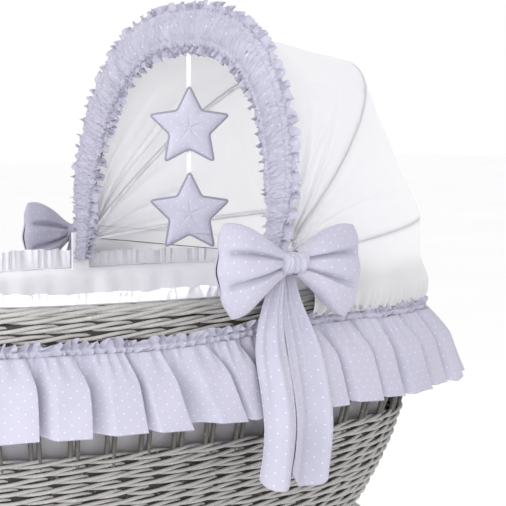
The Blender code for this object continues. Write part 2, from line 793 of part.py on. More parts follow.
def leg_mesh():
    """The +X +Y leg: splayed, cut level at both ends, with a tenon on top and bored below."""
    bm = bmesh.new()
    length = LEG_TOP - LEG_FOOT
    bmesh.ops.create_cone(
        bm, cap_ends=True, segments=16, radius1=LEG_RADIUS, radius2=LEG_RADIUS, depth=length
    )
    for v in bm.verts:
        centre = leg_centre((LEG_TOP + LEG_FOOT) / 2 + v.co.z)
        v.co = Vector((v.co.x + centre.x, v.co.y + centre.y, centre.z))
    leg = cutter(mesh_of(bm))
    tenon = rod_mesh(LEG_TENON_RADIUS, LEG_TOP - 0.006, LEG_TOP + LEG_TENON, "Z", 12)
    combine(leg, cutter(tenon, (SLAT_X, LEG_TOP_Y, 0)), "UNION")
    bar, foot = leg_centre(SHELF_BAR_HEIGHT), leg_centre(LEG_FOOT)
    socket = rod_mesh(SHELF_BAR_RADIUS + FIT, 0.05, shelf_bar_reach() + FIT, "Y", 12)
    combine(leg, cutter(socket, (bar.x, 0, SHELF_BAR_HEIGHT)))
    bore = rod_mesh(STEM_RADIUS + FIT, LEG_FOOT - 0.01, LEG_FOOT + STEM_LENGTH + 0.002, "Z", 12)
    combine(leg, cutter(bore, (foot.x, foot.y, 0)))
    return baked(leg)


def shelf_bar_reach():
    return leg_centre(SHELF_BAR_HEIGHT).y - LEG_RADIUS + TENON


def slat_mesh():
    """The slat at +X, as wide as the cradle ring above it, with a mortise for each leg."""
    length = 2 * (LEG_TOP_Y + 0.026)
    slat = cutter(box_mesh((SLAT_WIDTH, length, SLAT_HEIGHT), (SLAT_X, 0, SLAT_TOP - SLAT_HEIGHT / 2)))
    for side in (-1, 1):
        mortise = rod_mesh(LEG_TENON_RADIUS + FIT, LEG_TOP - 0.01, LEG_TOP + LEG_TENON + FIT, "Z", 12)
        combine(slat, cutter(mortise, (SLAT_X, side * LEG_TOP_Y, 0)))
    return baked(slat)


def tray_mesh():
    """The shelf's woven tray as a surface: its floor and its flared wall."""
    sizes = {"half_length": SHELF_LENGTH / 2, "half_width": SHELF_WIDTH / 2}
    sizes["top"] = SHELF_BAR_HEIGHT + SHELF_BAR_RADIUS + FIT
    bm = bmesh.new()
    floor = [bm.verts.new(p) for p in plan_ring(SHELF_FLARE, 0, **sizes)]
    top = [bm.verts.new(p) for p in plan_ring(0, -SHELF_WALL_HEIGHT, **sizes)]
    bm.faces.new(list(reversed(floor)))
    for i in range(PLAN_SEGMENTS):
        j = (i + 1) % PLAN_SEGMENTS
        bm.faces.new((floor[i], floor[j], top[j], top[i]))
    return mesh_of(bm)


def add_stand(root):
    leg = leg_mesh()
    for corner, (sx, sy) in CORNERS.items():
        copy = moved(leg, Matrix.Diagonal((sx, sy, 1, 1)))
        if sx * sy < 0:
            copy.flip_normals()
        part(f"leg_{corner}", copy, "painted_wood", root)
    ring_inset = BASE_INSET - BASE_LIP - CRADLE_GAP - CRADLE_RADIUS
    ring_depth = RIM_HEIGHT - SLAT_TOP - FIT - CRADLE_RADIUS
    ring = plan_ring(ring_inset, ring_depth)
    part("cradle_ring", wire_mesh(ring, CRADLE_RADIUS, cyclic=True), "painted_wood", root)
    slat = slat_mesh()
    bar = rod_mesh(SHELF_BAR_RADIUS, -shelf_bar_reach(), shelf_bar_reach(), "Y", 12)
    bar_x = leg_centre(SHELF_BAR_HEIGHT).x
    for end, sx in (("head", 1), ("foot", -1)):
        turn = 0 if sx > 0 else math.pi
        part(f"slat_{end}", slat, "painted_wood", root, rotation=(0, 0, turn))
        part(f"shelf_bar_{end}", bar, "painted_wood", root, (sx * bar_x, 0, SHELF_BAR_HEIGHT))
    length = 2 * (SLAT_X - SLAT_WIDTH / 2 - FIT)
    rail = box_mesh((length, RAIL_WIDTH, RAIL_HEIGHT))
    for side, sy in (("near", -1), ("far", 1)):
        place = (0, sy * RAIL_Y, SLAT_TOP - RAIL_HEIGHT / 2)
        part(f"side_rail_{side}", rail, "painted_wood", root, place)
    thicken(part("shelf_tray", tray_mesh(), "wicker", root), SHELF_WALL, -1)


# --- Casters, modelled with the swivel axis on Z and the wheel trailing along +X ----------------


def fork_mesh():
    """A bent strip over the wheel, bored for the swivel pin, the axle and the pedal's pin."""
    rows = [  # (x from, x to, y, z) down one side; the other side mirrors it
        (TRAIL - 0.008, TRAIL + 0.008, FORK_HALF, WHEEL_RADIUS - 0.008),
        (TRAIL - 0.010, TRAIL + 0.010, FORK_HALF, WHEEL_RADIUS + 0.006),
        (-0.008, PEDAL_PIN_X + 0.004, FORK_HALF, PEDAL_PIN_Z - 0.005),
        (-0.012, PEDAL_PIN_X + 0.004, FORK_HALF, PEDAL_PIN_Z + 0.003),
        (-0.012, 0.014, FORK_HALF - 0.0025, FORK_TOP),
    ]
    path = rows + [(a, b, -y, z) for a, b, y, z in reversed(rows)]
    o = part("fork", loft([[(a, y, z), (b, y, z)] for a, b, y, z in path], around=False), "steel")
    thicken(o, FORK, -1)
    axle_hole = rod_mesh(AXLE_RADIUS + RUNNING, -0.02, 0.02, "Y", 12)
    combine(o, cutter(axle_hole, (TRAIL, 0, WHEEL_RADIUS)))
    pin_hole = rod_mesh(PEDAL_PIN_RADIUS + RUNNING, -0.02, 0.02, "Y", 10)
    combine(o, cutter(pin_hole, (PEDAL_PIN_X, 0, PEDAL_PIN_Z)))
    combine(o, cutter(rod_mesh(SWIVEL_PIN_RADIUS + RUNNING, FORK_TOP - 0.01, FORK_TOP + 0.01, "Z", 12)))
    return baked(o)


def stem_mesh():
    """The stem in the leg, its flange, and the swivel pin riveted under the fork."""
    flange = FORK_TOP + 0.0005
    head = FORK_TOP - FORK - 0.0005
    shoulder = flange + FLANGE_HEIGHT
    profile = []
    for radius, z in (
        (0, shoulder + STEM_LENGTH),
        (STEM_RADIUS, shoulder + STEM_LENGTH),
        (STEM_RADIUS, shoulder),
        (FLANGE_RADIUS, shoulder),
        (FLANGE_RADIUS, flange),
        (SWIVEL_PIN_RADIUS, flange),
        (SWIVEL_PIN_RADIUS, head),
        (0.0055, head),
        (0.0055, head - 0.0025),
        (0, head - 0.0025),
    ):
        profile.append((radius, z))
    return turned_mesh(profile, "Z", 12)


def wheel_mesh():
    """A moulded wheel with a thin web; its flats are tangent to WHEEL_RADIUS, one of them lowest."""
    flats = 18
    tread = WHEEL_RADIUS / math.cos(math.pi / flats)
    bore, half, web = AXLE_RADIUS + RUNNING, WHEEL_WIDTH / 2, WHEEL_WIDTH * 0.16
    band = WHEEL_RADIUS - TREAD
    boss = 0.0075
    profile = []
    for radius, y in (
        (tread, half * 0.7),
        (tread, -half * 0.7),
        (tread - 0.0015, -half),
        (band, -half),
        (band - 0.001, -web),
        (boss + 0.001, -web),
        (boss, -half),
        (bore, -half),
        (bore, half),
        (boss, half),
        (boss + 0.001, web),
        (band - 0.001, web),
        (band, half),
        (tread - 0.0015, half),
    ):
        profile.append((radius, y))
    return turned_mesh(profile, "Y", flats)


def axle_mesh():
    side = FORK_HALF + FORK / 2 + 0.0015
    head = [(0, side + 0.0015), (0.005, side + 0.0015), (0.005, side), (AXLE_RADIUS, side)]
    foot = [(r, -h) for r, h in reversed(head)]
    return turned_mesh(head + foot, "Y", 10)


def pedal_mesh():
    """The brake lever, with its pin and the shoe that comes down on the tyre."""
    plate = outline_mesh(
        [
            (-0.004, 0.0005), (-0.004, 0.0035), (PEDAL_END - PEDAL_PIN_X - 0.006, 0.0075),
            (PEDAL_END - PEDAL_PIN_X, 0.0050), (PEDAL_END - PEDAL_PIN_X - 0.004, 0.0030),
            (0.0125, 0.0005), (0.0115, -SHOE_DROP * 0.7), (0.0065, -SHOE_DROP), (0.0050, 0.0),
        ],
        2 * PEDAL_HALF_WIDTH,
    )
    o = part("pedal", plate, "grey_plastic")
    pin_end = FORK_HALF + FORK / 2
    combine(o, cutter(rod_mesh(PEDAL_PIN_RADIUS, -pin_end, pin_end, "Y", 10)), "UNION")
    return baked(o)


def add_casters(root):
    fork, stem, wheel, axle, pedal = fork_mesh(), stem_mesh(), wheel_mesh(), axle_mesh(), pedal_mesh()
    hub = (TRAIL, 0, WHEEL_RADIUS)
    for corner, (sx, sy) in CORNERS.items():
        name = f"caster_{corner}"
        place = empty(f"{name}_place", (sx * FOOT_X, sy * FOOT_Y, 0), root)
        part(f"{name}_stem", stem, "steel", place)
        swivel = empty(f"{name}_swivel", (0, 0, 0), place)
        swivel.rotation_euler.z = 0 if sx > 0 else math.pi
        part(f"{name}_fork", fork, "steel", swivel)
        part(f"{name}_axle", axle, "steel", swivel, hub)
        part(f"{name}_wheel", wheel, "tyre_rubber", swivel, hub)
        if sx < 0:
            part(f"{name}_pedal", pedal, "grey_plastic", swivel, (PEDAL_PIN_X, 0, PEDAL_PIN_Z))


def main():
    root = empty("bassinet", (0, 0, 0))
    add_basket(root)
    add_bedding(root)
    add_skirt(root)
    add_hood(root)
    add_bow("near_bow", NEAR_BOW_X, -1, NEAR_BOW_RISE, 0, root)
    add_bow("far_bow", FAR_BOW_X, 1, FAR_BOW_RISE, FAR_LOOP_TURN, root)
    add_mobile(root)
    add_stand(root)
    add_casters(root)


main()
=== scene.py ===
"""The looks of the hooded wicker bassinet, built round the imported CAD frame.

Metres, +Z up, +X towards the head end, -Y the near side.
"""

import math

import bpy
import numpy as np
from mathutils import Matrix, Vector


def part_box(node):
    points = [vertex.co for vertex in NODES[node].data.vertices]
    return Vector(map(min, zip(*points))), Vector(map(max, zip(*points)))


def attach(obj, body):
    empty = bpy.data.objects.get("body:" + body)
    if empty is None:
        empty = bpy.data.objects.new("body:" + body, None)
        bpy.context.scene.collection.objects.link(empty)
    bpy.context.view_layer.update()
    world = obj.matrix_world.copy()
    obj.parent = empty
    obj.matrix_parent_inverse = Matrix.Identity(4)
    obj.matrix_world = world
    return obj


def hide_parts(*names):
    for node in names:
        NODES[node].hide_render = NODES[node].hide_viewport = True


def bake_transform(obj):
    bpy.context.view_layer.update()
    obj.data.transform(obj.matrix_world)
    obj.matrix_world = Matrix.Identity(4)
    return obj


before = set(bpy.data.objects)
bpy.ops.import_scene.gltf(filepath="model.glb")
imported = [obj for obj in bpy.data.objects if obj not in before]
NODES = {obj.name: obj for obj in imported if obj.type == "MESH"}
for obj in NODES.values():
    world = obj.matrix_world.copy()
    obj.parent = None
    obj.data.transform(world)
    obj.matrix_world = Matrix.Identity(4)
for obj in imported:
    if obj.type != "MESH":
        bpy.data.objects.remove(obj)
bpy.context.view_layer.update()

# --- Sizes shared with the CAD model ------------------------------------------------------------

RIM = 0.78
HALF_LENGTH, HALF_WIDTH = 0.46, 0.26
BASKET_DEPTH = 0.36
BASE_INSET, WALL_CURVE = 0.102, 2.4
WALL = 0.009
UPPER_TOP, OPEN_TOP, OPEN_FOOT = 0.020, 0.130, 0.189
STAKE_PAIRS, STAKE_SPACING, STAKE_RADIUS = 46, 0.011, 0.0032
PIVOT = np.array((0.072, 0.0, RIM + 0.041))
# Each hoop's angle up from the head end, its reach from the pivot axis and its half width at the pivot.
HOOPS = {
    "front": (math.radians(84.7), 0.315, 0.2205),
    "middle": (math.radians(45.5), 0.383, 0.2260),
    "rear": (math.radians(7.0), 0.395, 0.2315),
}
FRONT_SPREAD = 0.011
HEADING_OUT = 0.009
SKIRT_FLARE = 0.046
BOW_Y = 0.30
STAR_RADIUS, STAR_WAIST, STAR_THICKNESS = 0.056, 0.50, 0.009
STAR_TURN = math.radians(-36)

# --- Sizes of the detail ------------------------------------------------------------------------

UPPER_ROWS, LOWER_ROWS, TRAY_ROWS = 9, 14, 6
SHADE_SHEET_POINTS = 240
WALL_ROD, BORDER_ROD, TRAY_ROD = 0.0026, 0.0029, 0.0030
LINER_FOOT = 0.2955  # depth of the drawn liner's lower edge, just above the mattress
FRILL_GATHERS, HEADING_GATHERS, SKIRT_FOLDS, HOOD_GATHERS = 125, 165, 39, 60
BAND_WRINKLES, RUFFLE_WAVES = 105, 46
CLOTH = 0.0010
HOOP_TO_CLOTH = 0.0045  # from a hoop's centre line to the cloth outside it
PUFF_LIMIT = 0.004  # how far the simulation may move a point of the mattress
RIBBON_WIDTH = 0.007
DOT_PITCH, DOT_RADIUS, DOT_STRENGTH = 0.0175, 0.0010, 0.42
CAMERA_PLACE = (-1.549, -2.150, RIM + 0.2374)
CAMERA_FORWARD = Vector((0.6330, 0.7706, -0.0743))
LENS = 135.15

# --- Number helpers -----------------------------------------------------------------------------


def wobble(t, seed, low, high):
    """A smooth periodic wobble of t (period 1) made of the frequencies low to high."""
    rng = np.random.default_rng(seed)
    total = np.zeros_like(np.asarray(t, float))
    for k in range(low, high + 1):
        total += rng.normal() * np.sin(math.tau * (k * t + rng.random()))
    return total / math.sqrt(high - low + 1)


def smooth(x, low, high):
    t = np.clip((x - low) / (high - low), 0, 1)
    return t * t * (3 - 2 * t)


def bump_at(x, middle, width):
    return np.exp(-(((x - middle) / width) ** 2))


def signed_power(v, power):
    return np.sign(v) * np.abs(v) ** power


def plan(turn, inset, z):
    """Points on the basket's oval, drawn in by inset, at a height."""
    x = (HALF_LENGTH - inset) * signed_power(np.cos(turn), 0.8)
    y = (HALF_WIDTH - inset) * signed_power(np.sin(turn), 0.8)
    return np.stack(np.broadcast_arrays(x, y, z), -1)


TURNS = np.linspace(0, math.tau, 4001)
STEPS = np.linalg.norm(np.diff(plan(TURNS, 0.0, 0.0), axis=0), axis=1)
REACHED = np.concatenate([[0.0], np.cumsum(STEPS)])
PERIMETER = REACHED[-1]


def around(share, inset, z, out=0.0, along=0.0):
    """Points round the oval; share is 0 at the head end, 0.5 at the foot and 0.75 on the near side."""
    share, inset, z, out, along = np.broadcast_arrays(share, inset, z, out, along)
    turn = np.interp(np.mod(share, 1.0) * PERIMETER, REACHED, TURNS)
    p = plan(turn, inset, z)
    a, b = HALF_LENGTH - inset, HALF_WIDTH - inset
    n = np.stack([signed_power(p[..., 0] / a, 1.5) / a, signed_power(p[..., 1] / b, 1.5) / b], -1)
    n /= np.linalg.norm(n, axis=-1, keepdims=True)
    nx, ny = n[..., 0], n[..., 1]
    p[..., 0] += nx * out - ny * along
    p[..., 1] += ny * out + nx * along
    return p


def wall_inset(depth):
    return BASE_INSET * (np.maximum(depth, 0) / BASKET_DEPTH) ** WALL_CURVE


def hoop(name, turn, grow=0.0, off=0.0):
    """Points on a hood hoop: grow outwards in its plane, off across it towards the head."""
    angle, reach, half = HOOPS[name]
    turn, grow, off = np.broadcast_arrays(turn, grow, off)
    radius = (reach + grow) * np.abs(np.sin(turn)) ** 0.8
    spread = FRONT_SPREAD * np.clip((radius - 0.02) / 0.06, 0, 1) * (name == "front")
    y = -(half + spread + grow) * signed_power(np.cos(turn), 0.8)
    x = radius * math.cos(angle) + off * math.sin(angle)
    z = radius * math.sin(angle) - off * math.cos(angle)
    return PIVOT + np.stack([x, y, z], -1)


def hoop_start(name, distance):
    """The turn at which a hoop is that far from the pivot axis."""
    return math.asin((distance / HOOPS[name][1]) ** 1.25)


def even_turns(name, start, count, grow=0.0):
    """Turns along a hoop, evenly spaced by length."""
    fine = np.linspace(start, math.pi - start, 3000)
    steps = np.linalg.norm(np.diff(hoop(name, fine, grow), axis=0), axis=1)
    reached = np.concatenate([[0.0], np.cumsum(steps)])
    return np.interp(np.linspace(0, reached[-1], count), reached, fine), reached[-1]


def arch(name, along, grow=0.0, off=0.0, ends=0.03):
    """Points at a length along a hoop, whose ends go straight on below the pivot axis."""
    turns, length = even_turns(name, 0.0, 1200)
    along, grow, off = np.broadcast_arrays(along, grow, off)
    on_hoop = np.clip(along - ends, 0, length)
    turn = np.interp(on_hoop, np.linspace(0, length, 1200), turns)
    below = np.minimum(along - ends, 0) + np.minimum(length + ends - along, 0)
    angle = HOOPS[name][0]
    straight = np.stack([below * math.cos(angle), 0 * below, below * math.sin(angle)], -1)
    return hoop(name, turn, grow, off) + straight


def arch_length(name, ends=0.03):
    return even_turns(name, 0.0, 1200)[1] + 2 * ends


# --- Mesh helpers -------------------------------------------------------------------------------


def mesh_object(name, verts, quads, uv=None):
    """A smooth mesh from arrays; uv has one pair for each face corner."""
    mesh = bpy.data.meshes.new(name)
    mesh.vertices.add(len(verts))
    mesh.vertices.foreach_set("co", np.asarray(verts, np.float32).ravel())
    mesh.loops.add(quads.size)
    mesh.loops.foreach_set("vertex_index", quads.astype(np.int32).ravel())
    mesh.polygons.add(len(quads))
    size = quads.shape[1]
    mesh.polygons.foreach_set("loop_start", np.arange(0, quads.size, size, dtype=np.int32))
    mesh.update(calc_edges=True)
    if uv is not None:
        layer = mesh.uv_layers.new(name="cloth")
        layer.data.foreach_set("uv", np.asarray(uv, np.float32).ravel())
    mesh.validate()
    mesh.shade_smooth()
    o = bpy.data.objects.new(name, mesh)
    bpy.context.scene.collection.objects.link(o)
    return o


def grid_faces(nu, nv, wrap_u, wrap_v):
    i, j = np.arange(nu if wrap_u else nu - 1), np.arange(nv if wrap_v else nv - 1)
    i, j = (a.ravel() for a in np.meshgrid(i, j, indexing="ij"))
    i2, j2 = i + 1, j + 1
    quads = np.stack([i * nv + j, (i2 % nu) * nv + j, (i2 % nu) * nv + j2 % nv, i * nv + j2 % nv], 1)
    corners = np.stack([np.stack([i, i2, i2, i], 1), np.stack([j, j, j2, j2], 1)], -1)
    return quads, corners


def grid(name, points, wrap_u=False, wrap_v=False, u=None, v=None, flip=False):
    """A sheet through a grid of points; u and v are the cloth's own lengths along it, in metres."""
    nu, nv = points.shape[:2]
    quads, corners = grid_faces(nu, nv, wrap_u, wrap_v)
    u = np.arange(nu + 1) * 0.01 if u is None else np.asarray(u)
    v = np.arange(nv + 1) * 0.01 if v is None else np.asarray(v)
    u = np.append(u, 2 * u[-1] - u[-2]) if len(u) == nu else u
    v = np.append(v, 2 * v[-1] - v[-2]) if len(v) == nv else v
    uv = np.stack([u[corners[..., 0]], v[corners[..., 1]]], -1)
    if flip:
        quads, uv = quads[:, ::-1], uv[:, ::-1]
    return mesh_object(name, points.reshape(-1, 3), quads, uv)


def tubes(name, paths, radius, sides=6, closed=False, flatten=1.0, up=(0, 0, 1)):
    """Round rods along paths of points, as one mesh. flatten squeezes them sideways to up."""
    verts, faces, uvs, base = [], [], [], 0
    ring = math.tau * np.arange(sides) / sides
    for path in paths:
        path = np.asarray(path, float)
        if closed:
            tangent = np.roll(path, -1, 0) - np.roll(path, 1, 0)
        else:
            tangent = np.gradient(path, axis=0)
        tangent /= np.linalg.norm(tangent, axis=1, keepdims=True)
        side = np.cross(tangent, np.asarray(up, float))
        side /= np.linalg.norm(side, axis=1, keepdims=True) + 1e-12
        top = np.cross(side, tangent)
        r = np.broadcast_to(radius, len(path))[:, None, None]
        across, upwards = flatten * np.cos(ring)[:, None], np.sin(ring)[:, None]
        offset = across * side[:, None] + upwards * top[:, None]
        points = path[:, None] + r * offset
        quads, corners = grid_faces(len(path), sides, closed, True)
        verts.append(points.reshape(-1, 3))
        faces.append(quads + base)
        steps = np.linalg.norm(np.diff(np.vstack([path, path[:1]]), axis=0), axis=1)
        length = np.concatenate([[0.0], np.cumsum(steps)])
        uvs.append(np.stack([length[corners[..., 0]] + 0.37 * len(verts), corners[..., 1] * 0.003], -1))
        base += points.shape[0] * sides
        if not closed:
            for end, order in ((0, -1), (len(path) - 1, 1)):
                first = base - len(path) * sides + end * sides
                verts.append(path[end][None] + 0.35 * radius_at(radius, end) * order * tangent[end][None])
                k = np.arange(sides)
                cap = np.stack([first + k, first + (k + 1) % sides, np.full(sides, base)], 1)
                faces.append(cap if order > 0 else cap[:, [1, 0, 2]])
                base += 1
                uvs.append(np.zeros((sides, 3, 2)))
    quads = [f for f in faces if f.shape[1] == 4]
    caps = [f for f in faces if f.shape[1] == 3]
    all_faces = np.vstack(quads)
    uv = np.vstack([x.reshape(-1, 2) for x, f in zip(uvs, faces) if f.shape[1] == 4])
    o = mesh_object(name, np.vstack(verts), all_faces, uv)
    if caps:
        add_triangles(o, np.vstack(caps))
    return o


def radius_at(radius, index):
    return radius if np.isscalar(radius) else radius[index]


def add_triangles(o, triangles):
    """Adds the small end caps to a tube mesh."""
    mesh = o.data
    loops, faces = len(mesh.loops), len(mesh.polygons)
    mesh.loops.add(triangles.size)
    mesh.polygons.add(len(triangles))
    old = np.zeros(loops + triangles.size, np.int32)
    mesh.loops.foreach_get("vertex_index", old)
    old[loops:] = triangles.ravel()
    mesh.loops.foreach_set("vertex_index", old)
    starts = np.zeros(faces + len(triangles), np.int32)
    mesh.polygons.foreach_get("loop_start", starts)
    starts[faces:] = loops + 3 * np.arange(len(triangles))
    mesh.polygons.foreach_set("loop_start", starts)
    mesh.update(calc_edges=True)
    mesh.validate()
    mesh.shade_smooth()


def solidify(o, thickness):
    m = o.modifiers.new("thickness", "SOLIDIFY")
    m.thickness, m.offset = thickness, 0.0
    return o


def apply_modifiers(o):
    bpy.context.view_layer.update()
    graph = bpy.context.evaluated_depsgraph_get()
    mesh = bpy.data.meshes.new_from_object(o.evaluated_get(graph))
    o.modifiers.clear()
    o.data = mesh


def dress(o, material, slot, body, *nodes):
    """Gives a piece its material and the body it rides on, and hides the CAD nodes it stands for; slot is
    not used.
    """
    o.data.materials.clear()
    o.data.materials.append(material)
    if body:
        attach(o, body)
    if nodes:
        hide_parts(*nodes)
    return o


def strip_size(points, closed=False):
    """The flat strip a gathered or stretched grid of points is made from: its mean length and mean width."""
    wrapped = np.concatenate([points, points[:1]]) if closed else points
    length = np.linalg.norm(np.diff(wrapped, axis=0), axis=2).sum(0).mean()
    width = np.linalg.norm(np.diff(points, axis=1), axis=2).sum(1).mean()
    return float(length), float(width)


def sheet(name, points, look, node, body, closed=False, flip=False, thickness=None):
    """One sheet of cloth through a grid of points, at its own lengths."""
    nu, nv = points.shape[:2]
    flat = strip_size(points, closed)
    u = np.arange(nu + 1) * flat[0] / nu if closed else np.linspace(0, flat[0], nu)
    o = grid(name, points, closed, False, u, np.linspace(0, flat[1], nv), flip=flip)
    if thickness:
        solidify(o, thickness)
    material, slot = look
    dress(o, material, slot, body, *([node] if node else []))


# --- Materials ----------------------------------------------------------------------------------


class Look:
    """A Principled material and the few nodes it is made with."""

    def __init__(self, name, roughness=0.8, metallic=0.0, **inputs):
        self.material = bpy.data.materials.new(name)
        self.material.use_nodes = True
        self.tree = self.material.node_tree
        self.shader = self.tree.nodes["Principled BSDF"]
        self.shader.inputs["Roughness"].default_value = roughness
        self.shader.inputs["Metallic"].default_value = metallic
        for key, value in inputs.items():
            self.shader.inputs[key.replace("_", " ")].default_value = value
        self.coords = self.tree.nodes.new("ShaderNodeTexCoord")
        self.height = None

    def node(self, kind, **values):
        n = self.tree.nodes.new(kind)
        for key, value in values.items():
            setattr(n, key, value)
        return n

    def link(self, a, b):
        self.tree.links.new(a, b)

    def mapped(self, source="Object", scale=(1, 1, 1)):
        m = self.node("ShaderNodeMapping")
        m.inputs["Scale"].default_value = scale
        self.link(self.coords.outputs[source], m.inputs["Vector"])
        return m.outputs["Vector"]

    def noise(self, scale, detail=3.0, source="Object", stretch=(1, 1, 1)):
        n = self.node("ShaderNodeTexNoise")
        n.inputs["Scale"].default_value = scale
        n.inputs["Detail"].default_value = detail
        n.inputs["Roughness"].default_value = 0.55
        self.link(self.mapped(source, stretch), n.inputs["Vector"])
        return n.outputs["Fac"]

    def math(self, operation, a, b=None):
        n = self.node("ShaderNodeMath", operation=operation)
        for socket, value in zip(n.inputs, (a, b)):
            if value is None:
                continue
            if isinstance(value, (int, float)):
                socket.default_value = value
            else:
                self.link(value, socket)
        return n.outputs[0]

    def ramp(self, fac, stops):
        n = self.node("ShaderNodeValToRGB")
        while len(n.color_ramp.elements) < len(stops):
            n.color_ramp.elements.new(0.5)
        for e, (at, colour) in zip(n.color_ramp.elements, stops):
            e.position, e.color = at, (*colour, 1)
        self.link(fac, n.inputs["Fac"])
        return n.outputs["Color"]

    def mix(self, fac, a, b):
        n = self.node("ShaderNodeMix", data_type="RGBA", blend_type="MIX")
        for socket, value in ((n.inputs[0], fac), (n.inputs[6], a), (n.inputs[7], b)):
            if isinstance(value, (int, float)):
                socket.default_value = value
            elif isinstance(value, tuple):
                socket.default_value = (*value, 1)
            else:
                self.link(value, socket)
        return n.outputs[2]

    def colour(self, socket):
        self.link(socket, self.shader.inputs["Base Color"])
        return self

    def roughness(self, fac, low, high):
        n = self.node("ShaderNodeMapRange")
        n.inputs["To Min"].default_value, n.inputs["To Max"].default_value = low, high
        self.link(fac, n.inputs["Value"])
        self.link(n.outputs["Result"], self.shader.inputs["Roughness"])
        return self

    def bump(self, height, distance, strength=1.0):
        n = self.node("ShaderNodeBump")
        n.inputs["Distance"].default_value = distance
        n.inputs["Strength"].default_value = strength
        self.link(height, n.inputs["Height"])
        if self.height is not None:
            self.link(self.height, n.inputs["Normal"])
        self.height = n.outputs["Normal"]
        self.link(self.height, self.shader.inputs["Normal"])
        return self


def weave_height(look, pitch):
    """Plain weave: the two sets of threads as crossed waves in the cloth's own lengths."""
    split = look.node("ShaderNodeSeparateXYZ")
    look.link(look.coords.outputs["UV"], split.inputs[0])
    waves = []
    for axis in ("X", "Y"):
        turns = look.math("MULTIPLY", split.outputs[axis], math.tau / pitch)
        waves.append(look.math("SINE", turns))
    return look.math("MULTIPLY", waves[0], waves[1])


def pin_dots(look, pitch, radius):
    """1 on small staggered dots in the cloth's own lengths, and 0 between them."""
    found = None
    for shift in (0.0, 0.5):
        m = look.node("ShaderNodeMapping")
        m.inputs["Scale"].default_value = (1 / pitch, 1 / pitch, 0)
        m.inputs["Location"].default_value = (shift, shift, 0)
        look.link(look.coords.outputs["UV"], m.inputs["Vector"])
        f = look.node("ShaderNodeVectorMath", operation="FRACTION")
        look.link(m.outputs["Vector"], f.inputs[0])
        s = look.node("ShaderNodeVectorMath", operation="SUBTRACT")
        s.inputs[1].default_value = (0.5, 0.5, 0)
        look.link(f.outputs[0], s.inputs[0])
        size = look.node("ShaderNodeVectorMath", operation="LENGTH")
        look.link(s.outputs[0], size.inputs[0])
        soft = look.node("ShaderNodeMapRange", interpolation_type="SMOOTHSTEP")
        soft.inputs["From Min"].default_value = radius * 1.25 / pitch
        soft.inputs["From Max"].default_value = radius * 0.7 / pitch
        look.link(size.outputs["Value"], soft.inputs["Value"])
        dot = soft.outputs["Result"]
        found = dot if found is None else look.math("MAXIMUM", found, dot)
    return found


def cotton(name, colour, shade, dots=False, thin=0.0):
    look = Look(name, 0.85, Sheen_Weight=0.12, Sheen_Roughness=0.5, Subsurface_Weight=thin,
                Subsurface_Scale=0.02, Subsurface_Radius=(1.0, 1.0, 1.0))
    cloud = look.noise(9.0, 4.0)
    base = look.ramp(cloud, [(0.35, shade), (0.7, colour)])
    fibre = look.noise(900.0, 2.0)
    base = look.mix(look.math("MULTIPLY", fibre, 0.06), base, (1.0, 1.0, 1.0))
    if dots:
        dots_here = look.math("MULTIPLY", pin_dots(look, DOT_PITCH, DOT_RADIUS), DOT_STRENGTH)
        base = look.mix(dots_here, base, (0.88, 0.88, 0.95))
    look.colour(base)
    look.roughness(fibre, 0.78, 0.95)
    look.bump(look.noise(70.0, 3.0), 0.0006, 0.5)
    look.bump(weave_height(look, 0.0011), 0.00012, 0.6)
    return look.material


def wicker(name, light, dark):
    look = Look(name, 0.6)
    tone = look.noise(11.0, 2.0)
    grain = look.noise(40.0, 5.0, "UV", (6.0, 260.0, 1.0))
    base = look.ramp(tone, [(0.3, dark), (0.68, light)])
    lines = look.ramp(grain, [(0.42, (1, 1, 1)), (0.60, (0, 0, 0))])
    base = look.mix(lines, base, tuple(0.62 * c for c in dark))
    worn = look.ramp(look.noise(160.0, 4.0), [(0.60, (0, 0, 0)), (0.72, (0.5, 0.5, 0.5))])
    look.colour(look.mix(worn, base, (0.62, 0.58, 0.53)))
    look.roughness(grain, 0.5, 0.8)
    look.bump(grain, 0.0005, 0.6)
    return look.material


def painted_wood(name, colour):
    look = Look(name, 0.45, Coat_Weight=0.15, Coat_Roughness=0.4)
    grain = look.noise(18.0, 6.0, stretch=(6.0, 6.0, 0.6))
    base = look.ramp(grain, [(0.3, tuple(0.84 * c for c in colour)), (0.7, colour)])
    rub = look.ramp(look.noise(55.0, 5.0), [(0.62, (0, 0, 0)), (0.74, (0.35, 0.35, 0.35))])
    look.colour(look.mix(rub, base, tuple(min(1.0, 1.25 * c) for c in colour)))
    look.roughness(grain, 0.38, 0.6)
    look.bump(look.noise(120.0, 4.0, stretch=(3.0, 3.0, 0.3)), 0.0003, 0.5)
    return look.material


def metal(name, colour, low, high):
    look = Look(name, 0.35, 1.0)
    smear = look.noise(35.0, 5.0)
    look.colour(look.ramp(smear, [(0.3, tuple(0.8 * c for c in colour)), (0.7, colour)]))
    look.roughness(look.noise(140.0, 4.0, stretch=(1, 1, 4)), low, high)
    look.bump(look.noise(600.0, 2.0), 0.00005, 0.4)
    return look.material


def moulded(name, colour, low, high, grain):
    look = Look(name, 0.6)
    dust = look.noise(28.0, 5.0)
    look.colour(look.ramp(dust, [(0.35, colour), (0.75, tuple(min(1, 1.3 * c + 0.01) for c in colour))]))
    look.roughness(dust, low, high)
    look.bump(look.noise(grain, 2.0), 0.00015, 0.5)
    return look.material


